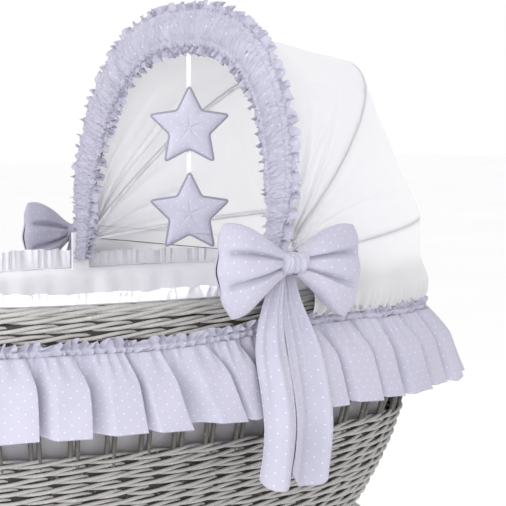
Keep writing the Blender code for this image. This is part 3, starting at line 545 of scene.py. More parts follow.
WHITE = cotton("white_cotton", (0.915, 0.91, 0.95), (0.89, 0.885, 0.93), thin=0.7)
BEDDING = cotton("bedding_cotton", (0.92, 0.915, 0.945), (0.90, 0.895, 0.93))
DOTTED = cotton("dotted_cotton", (0.455, 0.445, 0.54), (0.40, 0.39, 0.49), dots=True)
# painted shade: the liner's own white cotton greyed, for its outer face seen in shadow through the openwork
LINER_BACK_SHADE = cotton("liner_back_painted_shade", (0.46, 0.45, 0.475), (0.41, 0.40, 0.425))
# painted shade: the liner's white cotton set darker for the frill's shaded curls
FRILL_SHADE_COTTON = cotton("frill_cotton_painted_shade", (0.85, 0.845, 0.885), (0.78, 0.775, 0.825))
STAR = cotton("star_cotton", (0.53, 0.52, 0.63), (0.47, 0.46, 0.565), dots=True)
# painted shade: darker lavender on the piping for the shaded rolled edge of each star
PIPING_SHADE = cotton("piping_painted_shade", (0.31, 0.305, 0.39), (0.26, 0.255, 0.34))
WILLOW = wicker("painted_willow", (0.585, 0.57, 0.56), (0.45, 0.435, 0.425))
# painted shade: the same willow darkened for the stakes in the shaded openwork band
WILLOW_STAKE_SHADE = wicker("shaded_willow_rods", (0.19, 0.18, 0.17), (0.13, 0.12, 0.11))
# painted shade: near-black willow for the sheets behind the weave, where the gaps fall in shadow
WILLOW_SHADE = wicker("shaded_willow", (0.065, 0.058, 0.052), (0.04, 0.036, 0.032))
WOOD = painted_wood("painted_wood", (0.47, 0.45, 0.43))
STEEL = metal("zinc_plated_steel", (0.62, 0.62, 0.64), 0.25, 0.45)
PLASTIC = moulded("grey_moulded_plastic", (0.30, 0.30, 0.31), 0.4, 0.6, 900.0)
LACQUER = moulded("white_lacquered_metal", (0.86, 0.855, 0.89), 0.3, 0.45, 300.0)
RUBBER = moulded("grey_rubber", (0.10, 0.10, 0.105), 0.7, 0.9, 500.0)


# --- Wicker -------------------------------------------------------------------------------------


def wale_row(depth, inset, out, rise, seed, laps=3, per_pair=7, pairs=STAKE_PAIRS, place=around):
    """One row of a three-rod wale: three rods turning round each other, as one closed path."""
    count = pairs * per_pair * laps
    s = np.arange(count) / (pairs * per_pair)
    phase = math.tau * s * pairs / laps + 0.35 * wobble(s / laps, seed, 3, 40)
    lift = rise * np.sin(phase) + 0.0006 * wobble(s / laps, seed + 1, 5, 60)
    swing = out * np.cos(phase)
    return place(s, inset, RIM - depth + lift, swing)


def wall_rows(name, top, foot, rows, node):
    """The wall's stacked rows of weaving, which stand for one CAD wall."""
    pitch = (foot - top) / rows
    paths = []
    for k in range(rows):
        depth = top + pitch * (k + 0.5)
        inset = wall_inset(depth) + WALL / 2
        paths.append(wale_row(depth, inset, 0.0046, 0.29 * pitch, 10 * k + rows))
    o = tubes(name, paths, WALL_ROD, sides=7, closed=True, flatten=0.9)
    dress(o, WILLOW, "wicker", "basket", node)


def wall_shade_sheet(name, top, foot):
    """A near-black sheet behind the rows: painted shade, seen through the gaps between the rows."""
    share = np.arange(SHADE_SHEET_POINTS)[:, None] / SHADE_SHEET_POINTS
    depth = np.linspace(top, foot, 24)[None, :]
    ripple = 0.0008 * np.sin(share * math.tau * STAKE_PAIRS) * np.cos(depth * 600)
    points = around(share, wall_inset(depth) + WALL * 0.62, RIM - depth, ripple)
    u = np.arange(SHADE_SHEET_POINTS + 1) * PERIMETER / SHADE_SHEET_POINTS
    o = grid(name, points, wrap_u=True, u=u, v=depth[0])
    dress(solidify(o, 0.001), WILLOW_SHADE, "wicker", "basket")


def build_basket():
    wall_rows("upper_weave", UPPER_TOP, OPEN_TOP, UPPER_ROWS, "basket_upper_wall")
    wall_rows("lower_weave", OPEN_FOOT, BASKET_DEPTH, LOWER_ROWS, "basket_lower_wall")
    wall_shade_sheet("upper_weave_shade_sheet", UPPER_TOP, OPEN_TOP - 0.002)
    wall_shade_sheet("lower_weave_shade_sheet", OPEN_FOOT + 0.004, BASKET_DEPTH)
    border = [
        wale_row(0.0040, 0.0130, 0.0038, 0.0022, 77),
        wale_row(0.0060, 0.0070, 0.0028, 0.0030, 78),
        wale_row(0.0145, 0.0062, 0.0040, 0.0034, 79),
    ]
    rods = tubes("border_rods", border, BORDER_ROD, 7, closed=True)
    dress(rods, WILLOW, "wicker", "basket", "basket_border")
    # A near-black sheet inside the border: painted shade seen between its rods.
    share = np.arange(SHADE_SHEET_POINTS)[:, None] / SHADE_SHEET_POINTS
    shade_sheet = around(share, 0.0105, RIM - np.linspace(0.004, 0.022, 4)[None, :])
    shade_sheet = grid("border_shade_sheet", shade_sheet, wrap_u=True)
    dress(solidify(shade_sheet, 0.002), WILLOW_SHADE, "wicker", "basket")
    stakes = []
    for pair in range(STAKE_PAIRS):
        for side in (-0.5, 0.5):
            share = (pair + 0.5) / STAKE_PAIRS + side * STAKE_SPACING / PERIMETER
            share += 0.0003 * math.sin(5.1 * pair + 2 * side)
            depth = np.linspace(OPEN_TOP - 0.03, OPEN_FOOT + 0.02, 9)
            lean = 0.0006 * np.sin(depth * 60 + pair)
            stakes.append(around(share + 0 * depth, wall_inset(depth) + WALL / 2, RIM - depth, 0, lean))
    # The stakes take a darker copy of the painted willow: painted shade, as the openwork band stands in
    # shadow.
    o = tubes("stakes", stakes, STAKE_RADIUS, 8, up=(0.7, 0.7, 0.1))
    dress(o, WILLOW_STAKE_SHADE, "wicker", "basket", "basket_openwork")


# --- Bedding ------------------------------------------------------------------------------------


def build_liner():
    """The padded liner: up the inside, over the border, with soft puckers below its seam."""
    count = 720
    share = np.arange(count)[:, None] / count
    profile = np.array((
        (LINER_FOOT, 0.0395), (0.24, 0.0390), (0.17, 0.0375), (0.10, 0.0365), (0.05, 0.0355),
        (0.022, 0.0350), (0.008, 0.0335), (0.001, 0.0280), (-0.0015, 0.0200), (-0.0005, 0.0125),
    ))
    fine = np.linspace(0, 1, 44)
    keys = np.linspace(0, 1, len(profile))
    depth, inset = np.interp(fine, keys, profile[:, 0]), np.interp(fine, keys, profile[:, 1])
    depth, inset = (np.convolve(np.pad(a, 2, "edge"), np.ones(5) / 5, "valid") for a in (depth, inset))
    inner = inset + wall_inset(depth)
    body = smooth(depth, 0.0, 0.06) * smooth(LINER_FOOT - depth, 0.0, 0.03)
    pucker = 0.0016 * wobble(share, 3, 30, 60) * bump_at(depth, 0.035, 0.03)
    puff = (0.0025 + 0.0018 * wobble(share, 4, 6, 24)) * body
    points = around(share, inner[None], RIM - depth[None], -(puff + pucker))
    padding = 0.0125 * smooth(depth, 0.07, 0.12) * smooth(0.26 - depth, 0.0, 0.05)
    bulge = padding[::-1][None] * (1 + pucker * 40)
    back = around(share, inner[::-1][None] - 0.0048, RIM - depth[::-1][None] - 0.0004, bulge)
    loop = np.concatenate([points, back], 1)
    length = np.concatenate([[0], np.cumsum(np.hypot(np.diff(depth), np.diff(inset)))])
    v = np.concatenate([length, length[::-1], [length[0]]])
    o = grid("padded_liner", loop, True, True, np.arange(count + 1) * PERIMETER / count, v, flip=True)
    dress(o, BEDDING, "bedding", "basket", "liner")
    # The outer face takes the greyed cotton: painted shade seen through the openwork.
    o.data.materials.append(LINER_BACK_SHADE)
    outside = np.arange(len(o.data.polygons)) % loop.shape[1] >= points.shape[1]
    o.data.polygons.foreach_set("material_index", outside.astype(np.int32))


def build_frill():
    """The gathered frill: it stands up at the far side and lies in over the liner at the near side."""
    count = 3000
    share = np.arange(count)[:, None] / count
    v = np.linspace(0, 1, 15)[None, :]
    phase = math.tau * FRILL_GATHERS * share + 3.2 * wobble(share, 12, 8, 50)
    gather = np.cos(phase) + 0.45 * np.cos(2.3 * phase + 1.3) + 0.5 * wobble(share, 15, 20, 70)
    near = smooth(np.sin(math.tau * (share - 0.5)), 0.10, 0.75)
    hood = smooth(np.cos(math.tau * share), 0.02, 0.30)
    tall = 0.0300 - 0.0165 * near * (1 - hood) - 0.0080 * hood
    tall = tall * (1 + 0.07 * wobble(share, 13, 20, 90) + 0.06 * near * np.cos(phase + 0.6))
    curl = near * (1 - hood) * smooth(v, 0.35, 1.0)
    height = 0.0012 + tall * v
    out = -0.0120 + 0.0030 * v * (1 - near) + gather * (0.0005 + 0.0026 * v**1.1 + 0.0022 * curl)
    along = -0.0018 * np.sin(phase) * v - 0.0018 * curl * np.sin(2 * phase)
    points = around(share, 0.0, RIM + height, out, along)
    # The frill takes the darkened cotton: painted shade.
    sheet("gathered_frill", points, (FRILL_SHADE_COTTON, "bedding"), "liner_frill", "basket",
          closed=True)
    stitches = around(share[::10, 0], 0.0, RIM + 0.0022, -0.0140)
    seam = tubes("frill_seam_tape", [stitches], 0.0011, 6, closed=True)
    dress(seam, BEDDING, "bedding", "basket")


def build_mattress():
    """The mattress, puffed up from the CAD solid with a cloth simulation."""
    source = NODES["mattress"]
    o = bpy.data.objects.new("padded_mattress", source.data.copy())
    bpy.context.scene.collection.objects.link(o)
    remesh = o.modifiers.new("even", "REMESH")
    remesh.mode, remesh.voxel_size = "VOXEL", 0.008
    apply_modifiers(o)
    low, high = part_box("mattress")
    start = np.array([v.co for v in o.data.vertices])
    middle = np.array([(low.z + high.z) / 2])
    start[:, 2] = middle + (start[:, 2] - middle) * 0.92
    o.data.vertices.foreach_set("co", start.astype(np.float32).ravel())
    cloth = o.modifiers.new("cloth", "CLOTH")
    cloth.settings.use_pressure = True
    cloth.settings.uniform_pressure_force = 4.0
    cloth.settings.effector_weights.gravity = 0.0
    cloth.settings.quality = 3
    cloth.collision_settings.use_collision = False
    scene = bpy.context.scene
    cloth.point_cache.frame_start, cloth.point_cache.frame_end = 1, 20
    for f in range(1, 21):
        scene.frame_set(f)
    apply_modifiers(o)
    scene.frame_set(1)
    end = np.array([v.co for v in o.data.vertices])
    move = end - start
    size = np.linalg.norm(move, axis=1, keepdims=True)
    move *= np.minimum(1.0, PUFF_LIMIT / np.maximum(size, 1e-9))
    start = start + move
    start[:, 2] = np.maximum(start[:, 2], low.z)
    o.data.vertices.foreach_set("co", start.astype(np.float32).ravel())
    o.modifiers.new("fine", "SUBSURF").levels = 1
    o.modifiers["fine"].render_levels = 1
    apply_modifiers(o)
    o.data.shade_smooth()
    dress(o, BEDDING, "bedding", "basket", "mattress")
    ring = np.arange(300) / 300
    edge = around(ring, 0.0, 0.0)
    edge[:, 0] *= (high.x + 0.001) / HALF_LENGTH
    edge[:, 1] *= (high.y + 0.001) / HALF_WIDTH
    edge[:, 2] = high.z - 0.009
    welt = tubes("mattress_welt", [edge], 0.0022, 6, closed=True)
    dress(welt, BEDDING, "bedding", "basket")


# --- Skirt --------------------------------------------------------------------------------------


def heading_drop(share):
    """How much lower the skirt's heading hangs than its mean: down at the foot end, up by the near bow."""
    keys = (0.0, 0.06, 0.25, 0.50, 0.62, 0.70, 0.735, 0.765, 0.80, 0.86, 0.93, 1.0)
    drops = (0.0, 0.0, 0.002, 0.006, 0.006, 0.005, -0.001, -0.007, -0.010, -0.008, -0.003, 0.0)
    return np.interp(np.mod(share, 1.0), keys, drops) + 0.0008 * wobble(share, 24, 5, 30)


def build_heading():
    """The gathered heading of the skirt: a narrow casing with a torn-looking little ruffle above it."""
    count = 3600
    share = np.arange(count)[:, None] / count
    v = np.linspace(0, 1, 19)[None, :]
    depth = 0.0375 + 0.0175 * v + heading_drop(share)
    casing = smooth(v, 0.42, 0.56) * smooth(1 - v, 0.0, 0.14)
    ruffle = smooth(0.50 - v, 0.0, 0.30)
    phase = math.tau * HEADING_GATHERS * share + 3.2 * wobble(share, 21, 10, 60)
    phase = phase + 1.2 * np.sin(5 * v + 40 * share)
    wrinkle = np.cos(phase) + 0.6 * np.cos(1.7 * phase + 7 * v) + 0.5 * wobble(share, 25, 60, 200)
    out = HEADING_OUT - 0.0045 + 0.0048 * casing + 0.0030 * ruffle
    out = out + wrinkle * (0.0014 + 0.0006 * casing + 0.0030 * ruffle)
    lift = (0.0028 * np.cos(phase + 1.1) + 0.0020 * wobble(share, 22, 30, 110)) * ruffle
    points = around(share, 0.0, RIM - depth + lift, out, -0.0014 * np.sin(phase) * (0.4 + ruffle))
    sheet("skirt_heading_cloth", points, (DOTTED, "dotted_cotton"), "skirt_heading", "basket",
          closed=True, flip=True)


def build_skirt():
    """The gathered skirt: flat panels that each lap over the deep fold beside them."""
    count, rows = 3000, 40
    share = np.arange(count)[:, None] / count
    v = np.linspace(0, 1, rows)[None, :]
    turns = SKIRT_FOLDS * share + 0.16 * wobble(share, 31, 4, 20)
    lean = 0.45 * bump_at(share, 0.735, 0.05) * v
    cycle = np.mod(turns - lean, 1.0)
    panel = np.floor(turns - lean)
    rng = np.random.default_rng(36)
    depths, kinks = rng.uniform(0.75, 1.2, SKIRT_FOLDS + 2), rng.uniform(-1, 1, SKIRT_FOLDS + 2)
    deep = depths[panel.astype(int) % SKIRT_FOLDS]
    kink = kinks[panel.astype(int) % SKIRT_FOLDS]
    open_up = smooth(v, -0.22, 0.45)
    cut = 0.84
    rise = np.clip(cycle / cut, 0, 1)
    back = np.clip((cycle - cut) / (1 - cut), 0, 1)
    proud = smooth(rise, 0.02, 0.50) * (1 - smooth(back, 0, 1))
    size = 0.0245 * deep * open_up
    along = 0.0125 * deep * open_up * smooth(rise, 0.45, 1.0) * (1 - smooth(back, 0.0, 0.7))
    along = along - 0.0060 * open_up * bump_at(back, 0.75, 0.25) + 0.004 * kink * np.sin(math.pi * v) * proud
    gather = np.cos(math.tau * 4 * turns + 1.5 * wobble(share, 32, 10, 50)) * (1 - smooth(v, 0.0, 0.40))
    dimple = wobble(share + 0.01 * v, 34, 30, 80) * v * (1 - v) * 4
    corner = bump_at(np.mod(share + 0.5, 1.0), 0.455, 0.035) * v
    drop = heading_drop(share) * (1 - 0.6 * v)
    depth = 0.0530 + 0.0960 * v + drop - 0.0110 * corner
    out = HEADING_OUT - 0.0035 + (SKIRT_FLARE - 0.014) * v**1.05 + size * proud + 0.0024 * gather
    out = out + 0.0009 * dimple + 0.004 * corner
    lift = (0.0045 * proud * deep - 0.0025 + 0.0012 * wobble(share, 35, 10, 40)) * -v
    points = around(share, 0.0, RIM - depth + lift, out, along)
    sheet("gathered_skirt", points, (DOTTED, "dotted_cotton"), "skirt", "basket",
          closed=True, flip=True, thickness=CLOTH)


# --- Hood ---------------------------------------------------------------------------------------


def hood_surface(front, rear, start, nu, nv, clear):
    """A grid from one hoop to the next, with its outward normals; clear is the gap kept at the front one."""
    turns, length = even_turns(rear, start, nu, HOOP_TO_CLOTH)
    a, b = hoop(front, turns, HOOP_TO_CLOTH), hoop(rear, turns, HOOP_TO_CLOTH)
    v = np.linspace(0, 1, nv)[None, :, None]
    gap = np.linalg.norm(b - a, axis=1)[:, None, None]
    t = clear / gap + (1 - clear / gap) * v
    points = a[:, None] * (1 - t) + b[:, None] * t
    du = np.gradient(points, axis=0)
    dv = np.gradient(points, axis=1)
    normal = np.cross(dv, du)
    normal /= np.linalg.norm(normal, axis=2, keepdims=True) + 1e-12
    outward = points - (PIVOT + np.array((0.10, 0.0, 0.05)))
    normal *= np.sign((normal * outward).sum(2, keepdims=True))
    return length, points, normal


def stretched_panel(name, front, rear, seed, start, clear, nodes):
    """Cloth between two hoops, with tension folds that fan out from the pivots."""
    nu, nv = 260, 70
    _, points, normal = hood_surface(front, rear, start, nu, nv, clear)
    s = np.linspace(0, 1, nu)[:, None]
    v = np.linspace(0, 1, nv)[None, :]
    edge = np.sin(math.pi * v) ** 0.7
    near = 1 - smooth(np.minimum(s, 1 - s), 0.02, 0.34)
    side = np.where(s < 0.5, 0.0, 7.3)
    fan = np.sin(math.tau * (3.1 * v + 0.35 * wobble(v + 0 * s, seed, 1, 3)) + side + 2.0 * s)
    fan = np.sign(fan) * np.abs(fan) ** 0.8
    across = np.sin(math.tau * (5.0 * s + 0.8 * v) + seed) * np.sin(math.tau * (1.3 * v + 0.4) + 3 * s)
    slack = wobble(s + 0 * v, seed + 1, 2, 9) * np.sin(math.pi * v)
    lift = edge * (0.0042 * near * fan + 0.0016 * across + 0.0018 * slack - 0.0030 * np.sin(math.pi * v))
    crease = bump_at(v, 0.30 + 1.6 * s, 0.035) * smooth(s, 0.02, 0.08) * smooth(0.30 - s, 0, 0.1)
    lift = lift - 0.004 * crease * edge
    seam = bump_at(s, 0.30, 0.004) + bump_at(s, 0.70, 0.004)
    lift = lift - 0.0008 * seam
    points = points + normal * lift[..., None]
    flat = strip_size(points)
    o = grid(name, points, u=np.linspace(0, flat[0], nu), v=np.linspace(0, flat[1], nv), flip=True)
    dress(o, WHITE, "white_cotton", None, *nodes)
    solidify(o, CLOTH)
    apply_modifiers(o)
    # Weights from each point's place between the two hoops are worked out here, but nothing uses them.
    weights = np.zeros(len(o.data.vertices), np.float32)
    share = np.repeat(np.linspace(0, 1, nv)[None, :], nu, 0).ravel()
    for k in range(len(weights) // len(share)):
        weights[k * len(share):(k + 1) * len(share)] = 1 - share
    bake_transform(o)


def hood_casing(name, hoop_name, body):
    """The narrow sleeve that holds a hoop along the cloth's inside."""
    turns, _ = even_turns(hoop_name, hoop_start(hoop_name, 0.035), 300)
    path = hoop(hoop_name, turns, 0.0008)
    ripple = 0.0034 + 0.0002 * np.sin(np.arange(300) * 0.9) + 0.0001 * np.sin(np.arange(300) * 2.3)
    o = tubes(name, [path], ripple, 10, up=(0.02, 1.0, 0.01))
    dress(o, WHITE, "white_cotton", body)


def build_hood_back():
    """Cloth from the rear hoop down over the border, gathered into the skirt's heading."""
    nu, nv = 560, 30
    turns, _ = even_turns("rear", hoop_start("rear", 0.030), nu, HOOP_TO_CLOTH)
    top = hoop("rear", turns, HOOP_TO_CLOTH, 0.0015)
    shares = np.linspace(0, 1, 4001)
    ring = around(shares, -0.007, 0.0)
    near = shares[(ring[:, 0] > PIVOT[0] + 0.026) & (shares > 0.5)].min()
    share = np.linspace(near - 1, 1 - near, nu)
    keys = [top]
    insets = (-0.0025, -0.0060, -0.0125, -0.0120, -0.0075)
    heights = (0.030, 0.014, -0.004, -0.020, -0.033)
    for inset, height in zip(insets, heights):
        keys.append(around(share, inset, RIM + height))
    keys = np.array(keys)
    at = np.linspace(0, len(keys) - 1, nv)
    low = np.clip(np.floor(at).astype(int), 0, len(keys) - 2)
    t = (at - low)[:, None, None]
    before, after = np.clip(low - 1, 0, None), np.clip(low + 2, None, len(keys) - 1)
    p0, p1, p2, p3 = keys[before], keys[low], keys[low + 1], keys[after]
    square, cube = 2 * p0 - 5 * p1 + 4 * p2 - p3, 3 * p1 - p0 - 3 * p2 + p3
    points = 0.5 * (2 * p1 + (p2 - p0) * t + square * t**2 + cube * t**3)
    points = points.transpose(1, 0, 2)
    v = np.linspace(0, 1, nv)[None, :]
    s = np.linspace(0, 1, nu)[:, None]
    phase = math.tau * HOOD_GATHERS * s + 2.0 * wobble(s, 51, 5, 25)
    gathers = np.cos(phase) * smooth(v, 0.45, 1.0) * (1 - 0.5 * smooth(v, 0.9, 1.0))
    soft = wobble(s, 52, 3, 12) * np.sin(math.pi * v)
    n = around(share, 0.0, 0.0, 1.0) - around(share, 0.0, 0.0, 0.0)
    points = points + n[:, None] * (0.0019 * gathers + 0.0020 * soft * smooth(v, 0.1, 0.5))[..., None]
    sheet("hood_back_cloth", points, (WHITE, "white_cotton"), "hood_back", "basket",
          flip=True, thickness=CLOTH)


def build_ruched_band():
    """The gathered sleeve on the front hoop, with a ruffle along both edges."""
    nu, around_count, ends = 1800, 40, 0.026
    length = arch_length("front", ends)
    s = np.linspace(0, 1, nu)[:, None]
    a = (math.tau * np.arange(around_count + 1) / around_count)[None, :]
    across = np.cos(a)
    end = np.minimum(s, 1 - s) * length
    narrow = 0.50 + 0.50 * smooth(end, 0.01, 0.16)
    line = math.tau * BAND_WRINKLES * s + 2.6 * wobble(s, 61, 20, 60)
    broken = line + 1.9 * np.sin(3.0 * across + 30 * s) + 1.4 * wobble(s + 0.05 * across, 62, 40, 110)
    wrinkle = np.cos(broken) + 0.6 * np.cos(2.1 * broken + 4 * across)
    wrinkle = wrinkle + 0.4 * wobble(s + 0.02 * across, 65, 100, 200)
    puff = 1 - 0.45 * bump_at(np.abs(across), 0.55, 0.14)
    half = (0.0262 + 0.0012 * wobble(s, 63, 20, 70) + 0.0012 * wrinkle) * narrow
    depth = (0.0092 + 0.0012 * wobble(s, 64, 10, 40)) * puff * (0.85 + 0.15 * narrow)
    grow = half * signed_power(np.cos(a), 0.8) + 0.006 * (1 - narrow)
    off = -0.0035 + depth * signed_power(np.sin(a), 0.75) + 0.0015 * wrinkle * np.sin(a)
    points = arch("front", s * length + 0 * a, grow, off, ends)
    middle = around_count // 2
    dotted = (DOTTED, "dotted_cotton")
    for name, half_sleeve, node in (
        ("ruched_sleeve_back", points[:, :middle + 1], None),
        ("ruched_sleeve", points[:, middle:], "hood_ruched_band"),
    ):
        sheet(name, half_sleeve, dotted, node, "hood_front")
    for name, sign, seed in (("ruffle_outer", 1, 71), ("ruffle_inner", -1, 81)):
        v = np.linspace(0, 1, 10)[None, :]
        phase = math.tau * RUFFLE_WAVES * s + 3.0 * wobble(s, seed, 10, 50)
        wave = np.cos(phase) + 0.45 * np.cos(2.2 * phase + 1)
        reach = 0.0125 + 0.0022 * np.cos(phase + 0.6) + 0.0016 * wobble(s, seed + 1, 20, 60)
        reach = reach * (0.6 + 0.4 * narrow)
        grow = sign * (0.0240 * narrow + reach * v) + 0.006 * (1 - narrow)
        off = -0.0040 + 0.0056 * wave * v**0.8
        shift = 0.0034 * np.sin(phase) * v + 0.0018 * np.sin(2 * phase) * v**2
        points = arch("front", s * length + shift, grow, off, ends)
        sheet(name, points, dotted, None, "hood_front")


def build_facing():
    """The dotted binding where the hood's cloth meets the ruched sleeve."""
    nu, nv = 220, 8
    start = hoop_start("middle", 0.05)
    length, points, normal = hood_surface("front", "middle", start, nu, 70, 0.0095)
    strip = points[:, :nv] + normal[:, :nv] * 0.0016
    o = grid("hood_binding", strip, u=np.linspace(0, length, nu), v=np.linspace(0, 0.026, nv), flip=True)
    dress(o, DOTTED, "dotted_cotton", "hood_front")


def build_hood():
    stretched_panel("hood_front_cloth", "front", "middle", 41,
                    hoop_start("middle", 0.045), 0.0095, ["hood_front_panel"])
    stretched_panel("hood_rear_cloth", "middle", "rear", 45,
                    hoop_start("rear", 0.032), 0.0, ["hood_rear_panel"])
    hood_casing("middle_casing", "middle", "hood_middle")
    hood_casing("rear_casing", "rear", "basket")
    build_hood_back()
    build_facing()
    build_ruched_band()
    paint(("hood_hoop_front", "hood_hoop_middle", "hood_hoop_rear", "hood_bracket_near", "hood_bracket_far",
           "hood_rivet_near", "hood_rivet_far"), LACQUER)


# --- Bows ---------------------------------------------------------------------------------------


def bow_loop(side, turn):
    """One puffed loop: two pleats run out from the knot, which leaves three puffs."""
    nu, nv = 60, 96
    u = np.sin(0.5 * math.pi * np.linspace(0, 1, nu))[:, None]
    a = (math.tau * np.arange(nv) / nv)[None, :]
    tall = 0.0115 + 0.0465 * smooth(u, -0.16, 0.92) ** 0.85
    z = np.cos(a)
    pleat = bump_at(z, 0.28 + 0.08 * u, 0.065) + bump_at(z, -0.30 - 0.06 * u, 0.065)
    lobes = 1 - 0.72 * pleat * (1 - smooth(u, 0.80, 1.0))
    thick = 0.0095 + 0.0105 * smooth(u, 0.0, 0.45) - 0.0070 * smooth(u, 0.6, 1.0)
    thick = thick * np.sqrt(1 - 0.999 * u**10)
    d = thick * signed_power(np.sin(a), 0.60) * lobes
    d = d + 0.0010 * np.sin(9 * u + 4 * z + side) * np.sin(a)
    lobed_end = 0.0015 * np.cos(2.9 * math.pi * z) * smooth(u, 0.6, 1.0)
    rounded = 0.008 * (1 - z**2) - 0.014 * np.clip(-z, 0, 1) ** 2
    x = 0.010 + 0.101 * u + rounded * smooth(u, 0.3, 1.0) + lobed_end
    drop = -(0.006 if side < 0 else 0.015) * u + 0.003 * np.sin(2.2 * u) - 0.005 * np.clip(-z, 0, 1) * u
    points = np.stack(np.broadcast_arrays(side * x, d, tall * z + drop), -1)
    lengths = np.linspace(0, 0.12, nu), np.linspace(0, 0.26, nv + 1)
    o = grid("loop", points, False, True, *lengths, flip=side < 0)
    o.data.transform(Matrix.Rotation(turn, 4, "Z"))
    return o


def bow_knot():
    """The wrapped knot, pinched at its middle."""
    nu, nv = 48, 40
    u = (math.tau * np.arange(nu) / nu)[:, None]
    v = np.linspace(-1, 1, nv)[None, :]
    waist = 1 - 0.08 * np.cos(math.pi * v)
    wrinkle = 0.0011 * np.cos(13 * v + 1.4 * np.sin(u)) + 0.0008 * np.cos(24 * v + 2 * np.sin(2 * u))
    ry, rz = 0.0190 * waist + wrinkle, 0.0138 * waist + wrinkle
    close = np.sqrt(np.maximum(0, 1 - np.abs(v) ** 9))
    x = 0.0205 * v + 0.0010 * np.sin(3 * u)
    y = ry * signed_power(np.cos(u), 0.85) * close
    z = rz * signed_power(np.sin(u), 0.85) * close
    lengths = np.linspace(0, 0.1, nu + 1), np.linspace(0, 0.045, nv)
    return grid("knot", np.stack([x, y, z], -1), True, False, *lengths)


def bow_tail(name, lean, side, length, seed):
    """One tail: pleated under the knot, opening as it falls over the skirt, with a rounded end."""
    nu, nv = 64, 110
    u = np.linspace(-1, 1, nu)[:, None]
    v = np.linspace(0, 1, nv)[None, :]
    fall = -0.014 + (length + 0.014) * v
    wide = 0.0085 + 0.0225 * smooth(v, -0.02, 0.50)
    fade = 1 - smooth(v, 0.35, 1.0)
    fold = np.cos(math.pi * (1.15 * u + 0.25 * lean) + 0.5 * v + seed)
    pleats = np.cos(math.pi * 3.4 * u + 1.2 * v + 2 * seed) * fade
    fine = np.cos(math.pi * 6.3 * u + seed) * (1 - smooth(v, 0.0, 0.4))
    path = -0.0165 + 0.046 * smooth(fall, 0.045, 0.215) - 0.010 * smooth(fall, 0.200, 0.320)
    out = path + fold * (0.0025 + 0.0055 * smooth(v, 0.1, 0.7))
    out = out + 0.0020 * pleats + 0.0010 * fine - 0.0035 * lean
    middle = -0.0085 * smooth(v, 0.25, 0.75) + lean * (0.005 + 0.0205 * smooth(v, 0.0, 0.45))
    x = middle + wide * u + 0.003 * np.sin(2.6 * v + seed)
    corner = np.abs(u - 0.15 * lean) ** (2.2 if lean < 0 else 3.2)
    end = fall - (0.024 if lean < 0 else 0.014) * corner * smooth(v, 0.82, 1.0)
    points = np.stack(np.broadcast_arrays(x, side * out, -end), -1)
    flat = strip_size(points)
    o = grid(name, points, u=np.linspace(0, flat[0], nu), v=np.linspace(0, flat[1], nv), flip=side > 0)
    return solidify(o, 0.0011), flat


def build_bow(name, x, rise, side, foot_loop_turn, size):
    """A bow outside one foot of the hood; its foot-end loop turns in over the border."""
    place = Matrix.Translation((x, side * BOW_Y, RIM + rise)) @ Matrix.Scale(size, 4)
    pieces = [bow_loop(-1, side * foot_loop_turn), bow_loop(1, 0.0)]
    for o, label in zip(pieces, ("left_loop", "right_loop")):
        o.name = f"{name}_{label}"
        o.data.transform(place)
        dress(o, DOTTED, "dotted_cotton", "basket")
    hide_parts(name)
    knot = bow_knot()
    knot.name = f"{name}_knot"
    knot.data.transform(place)
    dress(knot, DOTTED, "dotted_cotton", "basket")
    for label, lean, length, seed in (("left_tail", -1, 0.288, 0.4), ("right_tail", 1, 0.290, 1.9)):
        tail, flat = bow_tail(f"{name}_{label}", lean, side, length, seed)
        tail.data.transform(place)
        dress(tail, DOTTED, "dotted_cotton", "basket")
        if lean < 0:
            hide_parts(f"{name}_tails")


# --- Hanging stars ------------------------------------------------------------------------------


def star_outline(count, radius, rounding=0.0015):
    """Points evenly along a five-pointed star with softened corners."""
    corners = []
    for k in range(10):
        r = radius * (1 if k % 2 == 0 else STAR_WAIST)
        a = math.pi / 2 + k * math.pi / 5
        corners.append((r * math.cos(a), r * math.sin(a)))
    corners = np.array(corners + corners[:1])
    reached = np.concatenate([[0], np.cumsum(np.linalg.norm(np.diff(corners, axis=0), axis=1))])
    at = np.linspace(0, reached[-1], count, endpoint=False)
    line = np.stack([np.interp(at, reached, corners[:, k]) for k in (0, 1)], 1)
    width = max(1, int(rounding / reached[-1] * count))
    for _ in range(3):
        line = sum(np.roll(line, k, 0) for k in range(-width, width + 1)) / (2 * width + 1)
    return line


def build_star(name, centre):
    """A padded star with piping round its edge, turned to face the foot end."""
    outline = star_outline(200, STAR_RADIUS * 1.04)
    nv = 22
    radial = np.linalg.norm(outline, axis=1)
    points = np.zeros((nv, len(outline), 3))
    for k, t in enumerate(np.linspace(-1, 1, nv)):
        scale = math.sin((1 - abs(t)) * math.pi / 2) ** 0.9
        thick = STAR_THICKNESS * 0.62 * np.sign(t) * (1 - scale**2.6) ** 0.55 if abs(t) > 0 else 0.0
        points[k, :, 0] = outline[:, 0] * scale
        points[k, :, 2] = outline[:, 1] * scale
        dent = 1 - 0.25 * (radial / radial.max()) ** 2 * (1 - scale)
        points[k, :, 1] = thick * dent
    points = points[:, ::-1]
    o = grid(name, points, False, True, np.linspace(0, 0.1, nv), np.linspace(0, 0.3, len(outline) + 1))
    mesh = o.data
    co = np.array([v.co for v in mesh.vertices])
    layer = mesh.uv_layers[0]
    index = np.zeros(len(mesh.loops), np.int32)
    mesh.loops.foreach_get("vertex_index", index)
    layer.data.foreach_set("uv", co[index][:, [0, 2]].astype(np.float32).ravel())
    turn = Matrix.Translation(centre) @ Matrix.Rotation(STAR_TURN, 4, "Z")
    mesh.transform(turn)
    dress(o, STAR, "dotted_cotton", "mobile", name.replace("padded_", ""))
    edge = np.zeros((len(outline), 3))
    edge[:, [0, 2]] = outline
    piping = tubes(f"{name}_piping", [edge], 0.0019, 8, closed=True, up=(0, 1, 0))
    piping.data.transform(turn)
    # The piping takes the darkened cloth: painted shade along the star's edge.
    dress(piping, PIPING_SHADE, "dotted_cotton", "mobile")


